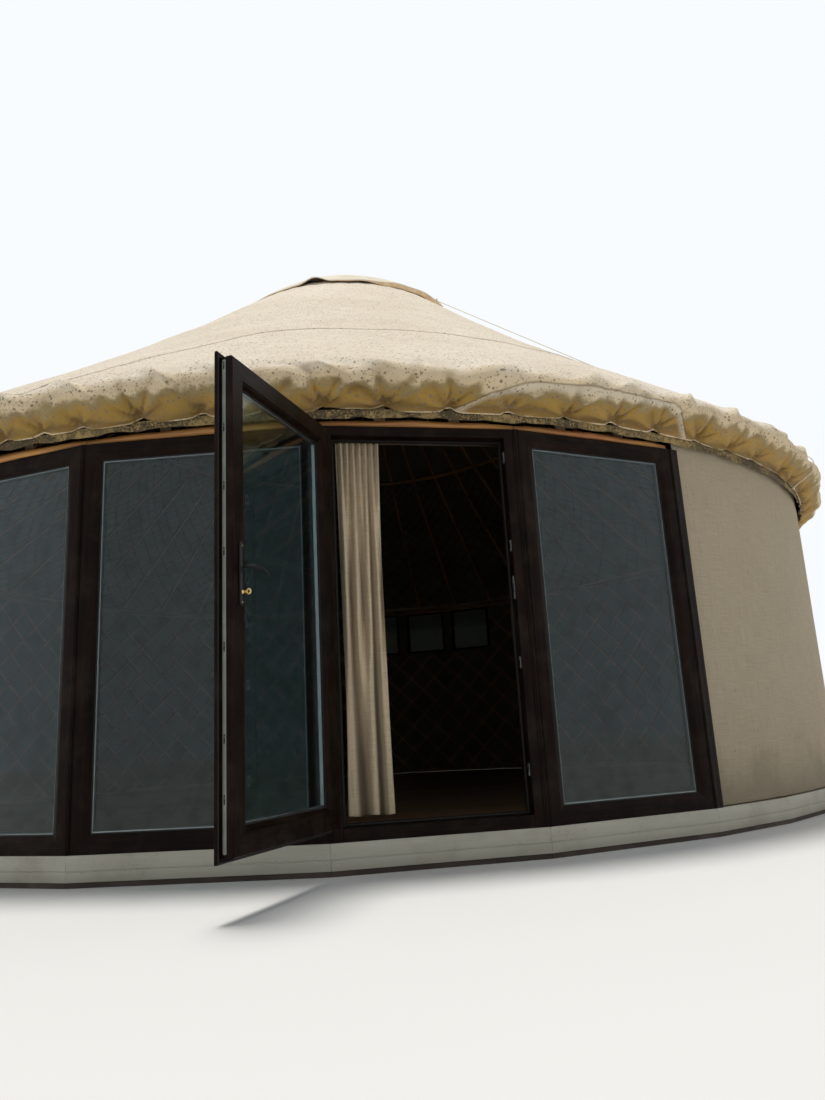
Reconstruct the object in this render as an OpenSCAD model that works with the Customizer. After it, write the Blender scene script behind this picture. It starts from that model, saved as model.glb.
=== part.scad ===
// A round framed yurt: canvas roof and walls on a timber deck, with a glazed front and one hinged door.
// The door looks along -Y, Z is up, and the origin is the centre of the plan on the ground.
// Angles around the plan are counted from the door, positive towards +X.

/* [Plan] */
// Radius of the circle on which the corners of the walls stand
plan_r = 4282; // [3900:10:4700]
// Width of the doorway side, corner to corner
door_side = 1050; // [1000:10:1200]
// Width of each of the two glazed sides left of the door
left_side = 1240; // [1000:10:1400]
// Width of the glazed side right of the door
right_side = 1060; // [900:10:1300]
// Number of flat sides in the canvas wall
wall_sides = 32; // [28:4:36]

/* [Deck] */
// Height of the dark strip under the plinth
strip_h = 25; // [15:1:40]
// Height of the pale plinth boards
plinth_h = 119; // [90:1:160]
// Thickness of the plinth boards
plinth_t = 28; // [18:1:40]
// Thickness of the floor boards
deck_t = 24; // [18:1:32]
// Width of a floor joist
joist_w = 60; // [40:5:90]
// Spacing of the floor joists
joist_pitch = 600; // [400:50:700]

/* [Glazed front] */
// Height of the door and window frames above the plinth
frame_h = 2021; // [1900:1:2150]
// Depth of the frames from outside to inside
frame_d = 70; // [60:1:90]
// Distance of the frames behind the face of the plinth
frame_set = 6; // [2:1:20]
// Width of the window frame members seen from outside
window_face = 88; // [60:1:110]
// Width of the cover between a frame and a corner of the plan
corner_w = 12; // [10:1:20]
// Width of the cover between the door frame and its right corner
latch_corner_w = 24; // [12:1:40]
// Width of the post where the canvas wall begins
end_post_w = 60; // [40:1:90]
// Thickness of the sealed glazing
glass_t = 24; // [16:1:36]
// Thickness of the round timber laid on the frames
lintel_d = 44; // [30:1:60]

/* [Door] */
// Width of the door frame members in front of the rebate
jamb_face = 50; // [40:1:60]
// Width of the stop behind the leaf
stop_w = 18; // [12:1:24]
// Depth of the stop
stop_d = 15; // [10:1:20]
// Height of the bottom member of the door frame
sill_h = 60; // [40:1:80]
// Width of the leaf's rim that laps over the frame
lap_w = 20; // [14:1:24]
// Thickness of that rim
lap_t = 14; // [8:1:20]
// Gap between the closed leaf and the frame's face and stop
leaf_gap = 5; // [5:1:8]
// Gap between the edge of the leaf and the rebate
edge_gap = 10; // [8:1:14]
// Extra gap on the latch side, for the swing of the leaf
latch_gap = 1; // [1:1:4]
// Width of the leaf's members around its glass
leaf_face = 100; // [80:1:120]
// Distance of the hinge axis from the edge of the leaf's rim
hinge_x = 38; // [34:1:40]
// Distance of the hinge axis outside the plan's side
hinge_y = 10; // [9:1:12]
// Diameter of the hinge barrels
hinge_d = 18; // [14:1:20]
// Diameter of the hinge pins
pin_d = 9; // [6:1:10]
// Length of a hinge
hinge_len = 96; // [60:2:140]
// How far the leaf stands open, in degrees
door_open = 120; // [0:1:160]
// Height of the lever above the sill
lever_z = 1049; // [900:1:1150]
// Length of the lever
lever_len = 125; // [90:1:150]
// Distance of the lever from the face of the leaf
lever_off = 50; // [35:1:60]
// Height of the handle plates
plate_h = 250; // [200:1:280]
// Width of the handle plates
plate_w = 32; // [24:1:40]
// Thickness of the handle plates
plate_t = 8; // [5:1:12]
// Diameter of the levers' spindle
spindle_d = 10; // [8:1:12]
// Thickness of a lever
lever_d = 18; // [14:1:20]

/* [Walls] */
// Distance of the canvas behind the face of the plinth
canvas_set = 30; // [20:1:50]
// Thickness of the wall's canvas and felt
wall_t = 20; // [12:1:30]
// Thickness of the crossed laths together
lath_t = 24; // [16:1:30]
// Width of a lath
lath_w = 32; // [24:1:45]
// Height of the canvas wall above the glazed front's frames
wall_h = 295; // [250:1:330]
// Width of the glass of a small back window
back_glass_w = 500; // [350:10:520]
// Height of the glass of a small back window
back_glass_h = 535; // [350:5:600]
// Width of the frame members of a small back window
back_face = 30; // [20:1:40]
// Distance of a small back window's frame below the top of the wall
back_drop = 10; // [5:1:60]
// Number of the wall side that holds the first small back window
back_first = 13; // [9:1:16]

/* [Roof] */
// Slope of the roof in degrees
roof_slope = 36.75; // [33:0.25:39]
// Distance of the round eave's centre outside the circle of the plan
eave_out = 98; // [80:1:130]
// Height of the round eave's centre above the glazed front's frames
eave_z = 214; // [200:1:280]
// Radius of the round eave
eave_r = 75; // [70:1:95]
// Distance of the roof's hem outside the circle of the plan
hem_out = 18; // [12:1:30]
// Height of the roof's hem above the frames
hem_z = 73; // [60:1:90]
// Radius of the hole in the roof canvas under the crown cover
roof_hole_r = 1050; // [1000:10:1150]
// Thickness of the roof's canvas and felt
roof_t = 14; // [8:1:16]
// Distance by which the crown stands off the centre, towards +X
crown_lean = 150; // [0:10:200]
// Number of roof poles
pole_count = 48; // [40:4:56]
// Thickness of a roof pole
pole_d = 40; // [30:1:44]
// Height of the strip of cloth that hangs from the hem
valance_h = 42; // [30:1:50]
// Thickness of that strip
valance_t = 5; // [3:1:8]
// Height of the bent timber ring under the poles
ring_h = 56; // [40:1:80]
// Width of that ring
ring_w = 64; // [55:1:80]

/* [Crown] */
// Outer radius of the crown ring
crown_r = 980; // [900:10:990]
// Width of the crown ring
crown_w = 80; // [60:1:110]
// Height of the crown ring
crown_h = 90; // [70:1:120]
// Rise of the crown's bars above the ring
crown_rise = 170; // [120:5:200]
// Thickness of the crown's bars
bar_t = 40; // [30:1:50]
// Spacing of the crown's bars
bar_pitch = 260; // [200:10:300]
// Radius of the crown cover
cover_r = 1190; // [1160:5:1230]
// Thickness of the crown cover
cover_t = 6; // [3:1:10]
// Thickness of the ropes that hold the crown cover
rope_d = 8; // [6:1:12]

/* [Curtain] */
// Width of the drawn curtain
curtain_w = 235; // [150:5:400]
// Thickness of its gathered folds
curtain_t = 70; // [50:1:90]
// Distance of the curtain rail behind the door frame
rail_off = 105; // [100:1:160]
// Diameter of the curtain rail
rail_d = 16; // [12:1:25]
// Length of the curtain rail
rail_len = 1160; // [1100:10:1400]
// Gap between the curtain and the floor
curtain_gap = 95; // [20:5:150]

/* [Hidden] */
$fn = 48;
seat = 0.3;
// Half of the gap between boards or panels that meet at a corner, in degrees
seam = 0.006;

deck_z = strip_h + plinth_h;
frame_top = deck_z + frame_h;
wall_top = frame_top + wall_h;

// Corners of the plan, as angles around it
half_door = asin(door_side / 2 / plan_r);
half_left = asin(left_side / 2 / plan_r);
half_right = asin(right_side / 2 / plan_r);
left_end = -half_door - 4 * half_left;
left_mid = -half_door - 2 * half_left;
right_end = half_door + 2 * half_right;
wall_step = (360 + left_end - right_end) / wall_sides;
half_wall = wall_step / 2;
wall_w = 2 * plan_r * sin(half_wall);
function wall_corner(k) = right_end + k * wall_step;
FRONT = [[left_end, left_mid], [left_mid, -half_door], [-half_door, half_door], [half_door, right_end]];
WALL = [for (k = [0 : wall_sides - 1]) [wall_corner(k), wall_corner(k + 1)]];
SIDES = concat(FRONT, WALL);
per_node = wall_sides / 4;

function pt(a, r) = [r * sin(a), -r * cos(a)];
function apothem(half, r) = r * cos(half);

// Door frame and leaf, seen from outside with x to the right and y inwards from the plan's side
frame_in = frame_set + frame_d;
door_l = -door_side / 2 + corner_w;
door_r = door_side / 2 - latch_corner_w;
rebate_l = door_l + jamb_face;
rebate_r = door_r - jamb_face;
rebate_b = deck_z + sill_h;
rebate_t = frame_top - jamb_face;
leaf_l = rebate_l + edge_gap - 2;
leaf_r = rebate_r - edge_gap - latch_gap;
leaf_b = rebate_b + edge_gap;
leaf_t = rebate_t - edge_gap;
leaf_out = frame_set - leaf_gap;
leaf_in = frame_in - stop_d - leaf_gap;
pin_x = leaf_l - lap_w - hinge_x;
pin_y = -hinge_y;
HINGE_Z = [leaf_b + 190, (leaf_b + leaf_t) / 2 + 120, leaf_t - 220];
handle_x = leaf_r - 56;
handle_z = rebate_b + lever_z;
cylinder_z = handle_z - 96;
STRIKES = [[rebate_b + 209, 60], [handle_z - 320, 60], [handle_z + 60, 120], [handle_z + 280, 60],
    [rebate_t - 103, 60]];
door_f = apothem(half_door, plan_r);

// Back windows, each in the middle of one side of the wall
back_top = wall_top - back_drop;
back_w = back_glass_w + 2 * back_face;
back_h = back_glass_h + 2 * back_face;
function is_back(k) = k >= back_first && k < back_first + 3;
canvas_r = plan_r - canvas_set;
lath_r = canvas_r - wall_t - seat;
lath_half = (apothem(half_wall, lath_r) - lath_t) * tan(half_wall) - 0.5;
lath_pitch = wall_step * PI / 180 * lath_r / 2;

// Outline of the roof: hem, round eave, straight slope
nx = sin(roof_slope);
nz = cos(roof_slope);
eave_c = [plan_r + eave_out, frame_top + eave_z];
hem = [plan_r + hem_out, frame_top + hem_z];
to_hem = hem - eave_c;
tuck = atan2(to_hem[1], to_hem[0]) + acos(eave_r / norm(to_hem));
turn = 90 - roof_slope - tuck;
eave_steps = 5;
function slope_z(r, dist) = eave_c[1] + (dist - (r - eave_c[0]) * nx) / nz;
function outline(off) = concat(
    [hem - off * [cos(tuck), sin(tuck)]],
    [for (i = [0 : eave_steps]) eave_c + (eave_r - off) * [cos(tuck + turn * i / eave_steps),
        sin(tuck + turn * i / eave_steps)]],
    [[roof_hole_r, slope_z(roof_hole_r, eave_r)] - off * [nx, nz]]);
roof_top = slope_z(roof_hole_r, eave_r);

// Roof poles under the canvas, and the ring that they rest on, behind the canvas of the walls
pole_step = 360 / pole_count;
pole_flat = pole_d / 2 * cos(22.5);
pole_line = eave_r - roof_t - 3 * seat - pole_flat;
pole_tail = eave_c + pole_line * [nx, nz];
pole_head = [crown_r - 30, slope_z(crown_r - 30, pole_line)];
ring_out = apothem(half_wall, canvas_r - wall_t) - seat;
ring_top = slope_z(ring_out, pole_line - pole_flat) - 0.6;

// The poles and their canvas lean to one side above the ring
rest_z = slope_z(ring_out + pole_flat * nx, pole_line);
function lean(z) = crown_lean * (z - rest_z) / (roof_top - rest_z);
function on_roof(a, p) = [lean(p[1]) + p[0] * sin(a), -p[0] * cos(a), p[1]];

crown_mid = slope_z(crown_r, pole_line);
crown_top = crown_mid + crown_h / 2;
crown_x = lean(crown_mid);

// The crown's bars lie on a sphere, and the cover on a slightly larger one
bar_reach = crown_r - crown_w / 2;
dome_r = (bar_reach * bar_reach + crown_rise * crown_rise) / (2 * crown_rise);
dome_z = crown_top + crown_rise - dome_r;
cover_in = dome_r + bar_t / 2 + seat;
cover_half = asin(cover_r / cover_in);
cover_edge_z = dome_z + cover_in * cos(cover_half);
ROPES = [6 * pole_step, 22 * pole_step, -10 * pole_step];

// Curtain and its rail
rail_y = frame_in + rail_off;
rail_z = frame_top - 25;

// A board or panel along one side of the plan, with ends cut along the corners
module side_board(ends, r, thick, z0, z1)
    translate([0, 0, z0])
        linear_extrude(z1 - z0)
            polygon([pt(ends[0] + seam, r), pt(ends[1] - seam, r),
                pt(ends[1] - seam, r - thick), pt(ends[0] + seam, r - thick)]);

// Puts its children on one side of the plan, y = 0 being the outer face of the plinth there
module on_side(ends, r = plan_r)
    rotate([0, 0, (ends[0] + ends[1]) / 2])
        translate([0, -apothem((ends[1] - ends[0]) / 2, r), 0])
            children();

module block(x0, x1, y0, y1, z0, z1)
    translate([x0, y0, z0])
        cube([x1 - x0, y1 - y0, z1 - z0]);

// A straight round or eight-sided bar between two points
module rod(p, q, d, sides = 32)
    translate(p)
        rotate([0, acos((q - p)[2] / norm(q - p)), atan2((q - p)[1], (q - p)[0])])
            rotate([0, 0, 180 / sides])
                cylinder(h = norm(q - p), d = d, $fn = sides);

// A flat rectangular frame standing on edge, with a hole
module frame_plate(x0, x1, y0, y1, z0, z1, face)
    difference() {
        block(x0, x1, y0, y1, z0, z1);
        block(x0 + face, x1 - face, y0 - 1, y1 + 1, z0 + face, z1 - face);
    }

module base_strip()
    color([0.16, 0.12, 0.1])
        for (s = SIDES)
            side_board(s, plan_r - 8, 40, 0, strip_h - seat);

module plinth_board(s)
    difference() {
        side_board(s, plan_r, plinth_t, strip_h, deck_z);
        translate([0, 0, strip_h + plinth_h * 0.42])
            side_board([s[0] - 1, s[1] + 1], plan_r + 1, 5, 0, 5);
    }

module plinth_boards()
    color([0.74, 0.73, 0.66])
        for (s = SIDES)
            plinth_board(s);

// The widest side lies nearest to the centre, so it limits the joists and the floor
floor_r = (plan_r - plinth_t) * cos(max(half_door, half_left, half_right)) - 1;
joist_count = floor((floor_r - 200) / joist_pitch);
module floor_joists()
    color([0.5, 0.38, 0.25])
        for (k = [-joist_count : joist_count])
            let (half = sqrt(pow(floor_r - 20, 2) - pow(abs(k) * joist_pitch + joist_w / 2, 2)))
                block(-half, half, k * joist_pitch - joist_w / 2, k * joist_pitch + joist_w / 2,
                    0, deck_z - deck_t);

module floor_deck()
    color([0.55, 0.4, 0.26])
        translate([0, 0, deck_z - deck_t])
            linear_extrude(deck_t)
                polygon([for (s = SIDES) pt(s[0], plan_r - plinth_t - 1)]);

// The jambs and head have a step that the leaf shuts against
module jamb(x_out, x_in, x_stop)
    union() {
        block(min(x_out, x_in), max(x_out, x_in), frame_set, frame_in, deck_z, frame_top);
        block(min(x_out, x_stop), max(x_out, x_stop), frame_in - stop_d, frame_in, deck_z, frame_top);
    }

module door_frame()
    color([0.3, 0.2, 0.14])
        on_side(FRONT[2]) {
            jamb(door_l, rebate_l, rebate_l + stop_w);
            jamb(door_r, rebate_r, rebate_r - stop_w);
            block(rebate_l + seat, rebate_r - seat, frame_set, frame_in - stop_d, rebate_t, frame_top);
            block(rebate_l + stop_w + seat, rebate_r - stop_w - seat, frame_in - stop_d, frame_in,
                rebate_t - stop_w, frame_top);
            block(rebate_l + seat, rebate_r - seat, frame_set, frame_in - stop_d, deck_z, rebate_b);
            block(rebate_l + stop_w + seat, rebate_r - stop_w - seat, frame_in - stop_d, frame_in,
                deck_z, rebate_b + stop_w);
        }

module strike_plates()
    color([0.75, 0.76, 0.78])
        on_side(FRONT[2])
            for (s = STRIKES)
                block(rebate_r - 3 - seat, rebate_r - seat, frame_set + 14, frame_set + 36,
                    s[0] - s[1] / 2, s[0] + s[1] / 2);

// The frame's half of each hinge: a lower barrel with its pin, and a flap on the frame's face beside it
module frame_hinges()
    color([0.24, 0.17, 0.13])
        on_side(FRONT[2])
            for (z = HINGE_Z) {
                translate([pin_x, pin_y, z - hinge_len / 2])
                    cylinder(h = hinge_len / 2 - 0.5, d = hinge_d);
                translate([pin_x, pin_y, z - hinge_len / 2])
                    cylinder(h = hinge_len - 6, d = pin_d);
                block(pin_x + 2, pin_x + hinge_x - 10, pin_y + 5, frame_set, z - hinge_len / 2 + 6, z - 8);
            }

module window_frame(ends, left_cover, right_cover)
    let (w = 2 * plan_r * sin((ends[1] - ends[0]) / 2))
        on_side(ends)
            frame_plate(-w / 2 + left_cover, w / 2 - right_cover, frame_set, frame_in,
                deck_z, frame_top, window_face);

module window_frames_left()
    color([0.26, 0.18, 0.13]) {
        window_frame(FRONT[0], corner_w, corner_w);
        window_frame(FRONT[1], corner_w, corner_w);
    }

module window_frame_right()
    color([0.26, 0.18, 0.13])
        window_frame(FRONT[3], corner_w, corner_w);

module window_pane(ends)
    let (w = 2 * plan_r * sin((ends[1] - ends[0]) / 2), in = corner_w + window_face + seat)
        on_side(ends)
            block(-w / 2 + in, w / 2 - in, frame_set + 20, frame_set + 20 + glass_t,
                deck_z + window_face + seat, frame_top - window_face - seat);

module window_glass()
    color([0.45, 0.55, 0.6, 0.5]) {
        window_pane(FRONT[0]);
        window_pane(FRONT[1]);
        window_pane(FRONT[3]);
    }

// A post that fills a corner: from e1 on the side before it to e2 on the side after it
module corner_post(a, h1, e1, h2, e2)
    let (d0 = frame_set - 3, d1 = frame_in)
        rotate([0, 0, a])
            translate([0, -plan_r, deck_z])
                linear_extrude(frame_h)
                    polygon([
                        [0, d0],
                        [e2 * cos(h2) - d0 * sin(h2), e2 * sin(h2) + d0 * cos(h2)],
                        [e2 * cos(h2) - d1 * sin(h2), e2 * sin(h2) + d1 * cos(h2)],
                        [-e1 * cos(h1) + d1 * sin(h1), e1 * sin(h1) + d1 * cos(h1)],
                        [-e1 * cos(h1) + d0 * sin(h1), e1 * sin(h1) + d0 * cos(h1)]]);

module corner_posts()
    color([0.2, 0.14, 0.1])
        let (c = corner_w - seat) {
            corner_post(left_end, half_wall, end_post_w, half_left, c);
            corner_post(left_mid, half_left, c, half_left, c);
            corner_post(-half_door, half_left, c, half_door, c);
            corner_post(half_door, half_door, latch_corner_w - seat, half_right, c);
            corner_post(right_end, half_right, c, half_wall, end_post_w);
        }

// Round timber over the frames, one length to each glazed side
lintel_r = door_f - lintel_d / 2 - 2;
module lintel_poles()
    color([0.6, 0.36, 0.18])
        for (s = FRONT)
            rotate([0, 0, s[0] - 90 + 0.02])
                rotate_extrude(angle = s[1] - s[0] - 0.04, $fn = 720)
                    translate([lintel_r, frame_top + lintel_d / 2])
                        circle(d = lintel_d, $fn = 24);

// Short posts behind the lintel that carry the eave ring over the glazed front
module front_struts()
    color([0.62, 0.48, 0.32])
        for (s = FRONT)
            for (x = [-1, 1])
                on_side(s)
                    block(x * 200 - 30, x * 200 + 30, frame_in - 20, frame_in, frame_top,
                        ring_top - ring_h - seat);

// One side of the canvas wall, cut away for the posts at its ends and for a small window
module wall_panel(k)
    difference() {
        side_board(WALL[k], canvas_r, wall_t, deck_z, wall_top);
        if (k == 0)
            translate([0, 0, -1])
                linear_extrude(frame_top + 2)
                    polygon([pt(right_end - 1, plan_r + 50), pt(right_end + end_post_a, plan_r + 50),
                        pt(right_end + end_post_a, plan_r - 200), pt(right_end - 1, plan_r - 200)]);
        if (k == wall_sides - 1)
            translate([0, 0, -1])
                linear_extrude(frame_top + 2)
                    polygon([pt(left_end - end_post_a, plan_r + 50), pt(left_end + 1, plan_r + 50),
                        pt(left_end + 1, plan_r - 200), pt(left_end - end_post_a, plan_r - 200)]);
        if (is_back(k))
            on_side(WALL[k])
                block(-back_w / 2 - seat, back_w / 2 + seat, 0, 200,
                    back_top - back_h - seat, back_top + seat);
    }
end_post_a = (end_post_w + 2) / plan_r * 180 / PI;

module wall_canvas(q)
    color([0.78, 0.71, 0.58])
        for (k = [q * per_node : (q + 1) * per_node - 1])
            wall_panel(k);

// Crossed laths in one flat side, with a rail at the foot and one at the head
module lath_net(w, h, opening)
    intersection() {
        translate([-w, 0])
            square([2 * w, h]);
        union() {
            for (i = [-floor(h / lath_pitch) - 2 : floor(h / lath_pitch) + 2])
                for (s = [-1, 1])
                    translate([i * lath_pitch, 0])
                        rotate(s * 45)
                            translate([-lath_w / 2, -lath_w])
                                square([lath_w, h * 1.5]);
            translate([-w, 0])
                square([2 * w, lath_w]);
            translate([-w, h - lath_w])
                square([2 * w, lath_w]);
            if (opening)
                for (s = [-1, 1])
                    translate([s * (back_w / 2 + lath_w / 2 + 1) - lath_w / 2, 0])
                        square([lath_w, h]);
        }
    }

module lattice_side(k)
    on_side(WALL[k], lath_r)
        translate([0, lath_t, deck_z])
            rotate([90, 0, 0])
                linear_extrude(lath_t)
                    difference() {
                        lath_net(lath_half, ring_top - ring_h - deck_z - seat, is_back(k));
                        if (is_back(k))
                            translate([-back_w / 2 - seat, back_top - back_h - deck_z - seat])
                                square([back_w + 2 * seat, back_h + 2 * seat]);
                        if (k == 0)
                            translate([-wall_w / 2 - 100, -1])
                                square([end_post_w + 101, wall_top]);
                        if (k == wall_sides - 1)
                            translate([wall_w / 2 - end_post_w - 1, -1])
                                square([end_post_w + 101, wall_top]);
                    }

module wall_lattice(q)
    color([0.52, 0.34, 0.2])
        for (k = [q * per_node : (q + 1) * per_node - 1])
            lattice_side(k);

back_y = apothem(half_wall, plan_r) - apothem(half_wall, canvas_r);
module back_window_frames()
    color([0.3, 0.22, 0.16])
        for (k = [back_first : back_first + 2])
            on_side(WALL[k])
                frame_plate(-back_w / 2, back_w / 2, back_y - 5, back_y + wall_t + lath_t,
                    back_top - back_h, back_top, back_face);

module back_window_glass()
    color([0.6, 0.68, 0.62, 0.5])
        for (k = [back_first : back_first + 2])
            on_side(WALL[k])
                block(-back_glass_w / 2 + seat, back_glass_w / 2 - seat, back_y + 8, back_y + 14,
                    back_top - back_h + back_face + seat, back_top - back_face - seat);

// Bent timber on top of the walls, scarfed from sixteen lengths
module eave_ring()
    color([0.55, 0.36, 0.2])
        for (i = [0 : 15])
            rotate([0, 0, i * 22.5 + 0.01])
                rotate_extrude(angle = 22.48, $fn = 720)
                    translate([ring_out - ring_w, ring_top - ring_h])
                        square([ring_w, ring_h]);

module roof_pole(a)
    rod(on_roof(a, pole_tail), on_roof(a, pole_head), pole_d, 8);

module roof_poles(first)
    color([0.62, 0.36, 0.17])
        difference() {
            for (i = [first : first + pole_count / 4 - 1])
                roof_pole(i * pole_step);
            translate([crown_x, 0, crown_mid - 2 * crown_h])
                cylinder(h = 4 * crown_h, r = crown_r + seat, $fn = 96);
        }

// One gore of the roof cloth between two poles: its outline swept from one to the next
module roof_gore(a0, a1)
    let (out = outline(0), in = outline(roof_t), n = len(out),
         pts = concat([for (p = out) on_roof(a0, p)], [for (p = out) on_roof(a1, p)],
             [for (p = in) on_roof(a0, p)], [for (p = in) on_roof(a1, p)]),
         outer = [for (i = [0 : n - 2]) [i, i + 1, n + i + 1, n + i]],
         inner = [for (i = [0 : n - 2]) [2 * n + i, 3 * n + i, 3 * n + i + 1, 2 * n + i + 1]],
         side0 = [for (i = [0 : n - 2]) [i, 2 * n + i, 2 * n + i + 1, i + 1]],
         side1 = [for (i = [0 : n - 2]) [n + i, n + i + 1, 3 * n + i + 1, 3 * n + i]],
         ends = [[0, n, 3 * n, 2 * n], [n - 1, 3 * n - 1, 4 * n - 1, 2 * n - 1]])
        polyhedron(points = pts, faces = concat(outer, inner, side0, side1, ends), convexity = 6);

module roof_canvas(first)
    color([0.88, 0.82, 0.7])
        for (i = [first : first + pole_count / 4 - 1])
            roof_gore(i * pole_step + seam, (i + 1) * pole_step - seam);

// A strip of cloth that hangs from the hem, in front of the lintel
valance_r = (hem[0] - roof_t * cos(tuck)) * cos(pole_step / 2) + 3;
module roof_valance()
    color([0.5, 0.45, 0.33])
        translate([lean(hem[1]), 0, 0])
            rotate_extrude($fn = 96)
                translate([valance_r, hem[1] - seat - valance_h])
                    square([valance_t, valance_h]);

module crown_ring()
    color([0.5, 0.3, 0.16])
        translate([crown_x, 0, crown_top - crown_h])
            difference() {
                cylinder(h = crown_h, r = crown_r, $fn = 96);
                translate([0, 0, -1])
                    cylinder(h = crown_h + 2, r = crown_r - crown_w, $fn = 96);
            }

// An arc seen from the side, from -half to half of its top, as a list of points
function arc(r, half, steps) = [for (i = [0 : steps])
    let (a = half * (2 * i / steps - 1)) [r * sin(a), r * cos(a)]];
function arc_back(r, half, steps) = [for (i = [0 : steps])
    let (a = half * (1 - 2 * i / steps)) [r * sin(a), r * cos(a)]];

// A bent bar of the crown, at a distance from the middle one, with its outer edge on the sphere
module crown_bar(off)
    let (r = sqrt(pow(dome_r + bar_t / 2, 2) - pow(abs(off) + bar_t / 2, 2)) - bar_t / 2,
         half = asin(sqrt(bar_reach * bar_reach - off * off) / r))
        translate([0, off + bar_t / 2, dome_z])
            rotate([90, 0, 0])
                linear_extrude(bar_t)
                    polygon(concat(arc(r + bar_t / 2, half, 10), arc_back(r - bar_t / 2, half, 10)));

module crown_bars()
    color([0.5, 0.3, 0.16])
        translate([crown_x, 0, 0])
            difference() {
                for (s = [-1 : 1]) {
                    crown_bar(s * bar_pitch);
                    rotate([0, 0, 90])
                        crown_bar(s * bar_pitch);
                }
                translate([-crown_r, -crown_r, crown_top - crown_r + seat])
                    cube([2 * crown_r, 2 * crown_r, crown_r]);
            }

module crown_cover()
    color([0.86, 0.8, 0.68])
        translate([crown_x, 0, dome_z])
            rotate_extrude($fn = 96)
                intersection() {
                    polygon(concat(arc(cover_in + cover_t, cover_half, 40),
                        arc_back(cover_in, cover_half, 40)));
                    square([cover_r * 2, dome_r * 2]);
                }

// Ropes from the edge of the cover, over the eave and down to the hem
rope_up = rope_d / 2 + 4;
function rope_path(a) = concat(
    [on_roof(a, [cover_r + rope_d / 2 + seat, cover_edge_z + cover_t / 2])],
    [for (i = [eave_steps : -1 : 0]) on_roof(a, eave_c + (eave_r + rope_up) * [cos(tuck + turn * i / eave_steps),
        sin(tuck + turn * i / eave_steps)])],
    [on_roof(a, hem + (rope_d / 2 + seat) * [cos(tuck), sin(tuck)])]);

module cover_ropes()
    color([0.8, 0.74, 0.6])
        for (a = ROPES)
            let (path = rope_path(a))
                union()
                    for (i = [0 : len(path) - 2])
                        rod(path[i], path[i + 1], rope_d, 8);

module curtain_rail()
    color([0.85, 0.85, 0.84])
        on_side(FRONT[2]) {
            rod([-rail_len / 2, rail_y, rail_z], [rail_len / 2, rail_y, rail_z], rail_d);
            for (x = [-1, 1])
                block(x * (rebate_r - 30) - 12, x * (rebate_r - 30) + 12, frame_in + seat, rail_y + 4,
                    rail_z - rail_d / 2, rail_z + 4);
        }

module curtain()
    color([0.78, 0.7, 0.52])
        on_side(FRONT[2])
            block(rebate_l + 35, rebate_l + 35 + curtain_w, rail_y - curtain_t / 2, rail_y + curtain_t / 2,
                deck_z + curtain_gap, rail_z - rail_d / 2 - seat);

// Puts the leaf's pieces, drawn as shut, where the open leaf stands
module on_leaf()
    on_side(FRONT[2])
        translate([pin_x, pin_y, 0])
            rotate([0, 0, -door_open])
                translate([-pin_x, -pin_y, 0])
                    children();

module leaf_frame()
    color([0.27, 0.19, 0.14])
        on_leaf()
            difference() {
                union() {
                    block(leaf_l - lap_w, leaf_r + lap_w, leaf_out - lap_t, leaf_out, leaf_b - lap_w, leaf_t + lap_w);
                    block(leaf_l, leaf_r, leaf_out - 1, leaf_in, leaf_b, leaf_t);
                }
                block(leaf_l + leaf_face, leaf_r - leaf_face, leaf_out - lap_t - 1, leaf_in + 1,
                    leaf_b + leaf_face, leaf_t - leaf_face);
                block(leaf_r - 2.5, leaf_r + 1, leaf_out + 8, leaf_out + 25, leaf_b + 12, leaf_t - 12);
                translate([handle_x, leaf_in + 1, handle_z])
                    rotate([90, 0, 0])
                        cylinder(h = leaf_in - leaf_out + lap_t + 2, d = spindle_d + 4);
            }

module leaf_glass()
    color([0.45, 0.55, 0.6, 0.5])
        on_leaf()
            block(leaf_l + leaf_face + seat, leaf_r - leaf_face - seat, leaf_out + 6, leaf_out + 6 + glass_t,
                leaf_b + leaf_face + seat, leaf_t - leaf_face - seat);

module lock_strip()
    color([0.78, 0.79, 0.8])
        on_leaf()
            block(leaf_r - 2.2, leaf_r, leaf_out + 8.5, leaf_out + 24.5, leaf_b + 12.5, leaf_t - 12.5);

// A plate on each face of the leaf, with the end of the lock cylinder below the lever
module handle_plates()
    color([0.1, 0.1, 0.1])
        on_leaf() {
            difference() {
                block(handle_x - plate_w / 2, handle_x + plate_w / 2, leaf_in + seat, leaf_in + seat + plate_t,
                    handle_z - plate_h + 100, handle_z + 100);
                translate([handle_x, leaf_in + plate_t + 2, handle_z])
                    rotate([90, 0, 0])
                        cylinder(h = plate_t + 4, d = spindle_d + 0.4);
            }
            difference() {
                block(handle_x - plate_w / 2, handle_x + plate_w / 2, leaf_out - lap_t - seat - plate_t,
                    leaf_out - lap_t - seat, handle_z - plate_h + 100, handle_z + 100);
                translate([handle_x, leaf_out - lap_t + 2, handle_z])
                    rotate([90, 0, 0])
                        cylinder(h = plate_t + 4, d = spindle_d + 0.4);
            }
            translate([handle_x, leaf_in + plate_t + 7, cylinder_z])
                rotate([90, 0, 0])
                    cylinder(h = 6.5, d = 17);
        }

// Both levers turn together on one square spindle, drawn here as a round one
module handle_lever()
    color([0.1, 0.1, 0.1])
        on_leaf()
            union() {
                translate([handle_x, leaf_in + lever_off, handle_z])
                    rotate([90, 0, 0])
                        cylinder(h = leaf_in - leaf_out + lap_t + 2 * lever_off, d = spindle_d);
                for (y = [leaf_in + lever_off, leaf_out - lap_t - lever_off])
                    rod([handle_x + lever_d / 2, y, handle_z], [handle_x - lever_len, y, handle_z], lever_d);
            }

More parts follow.
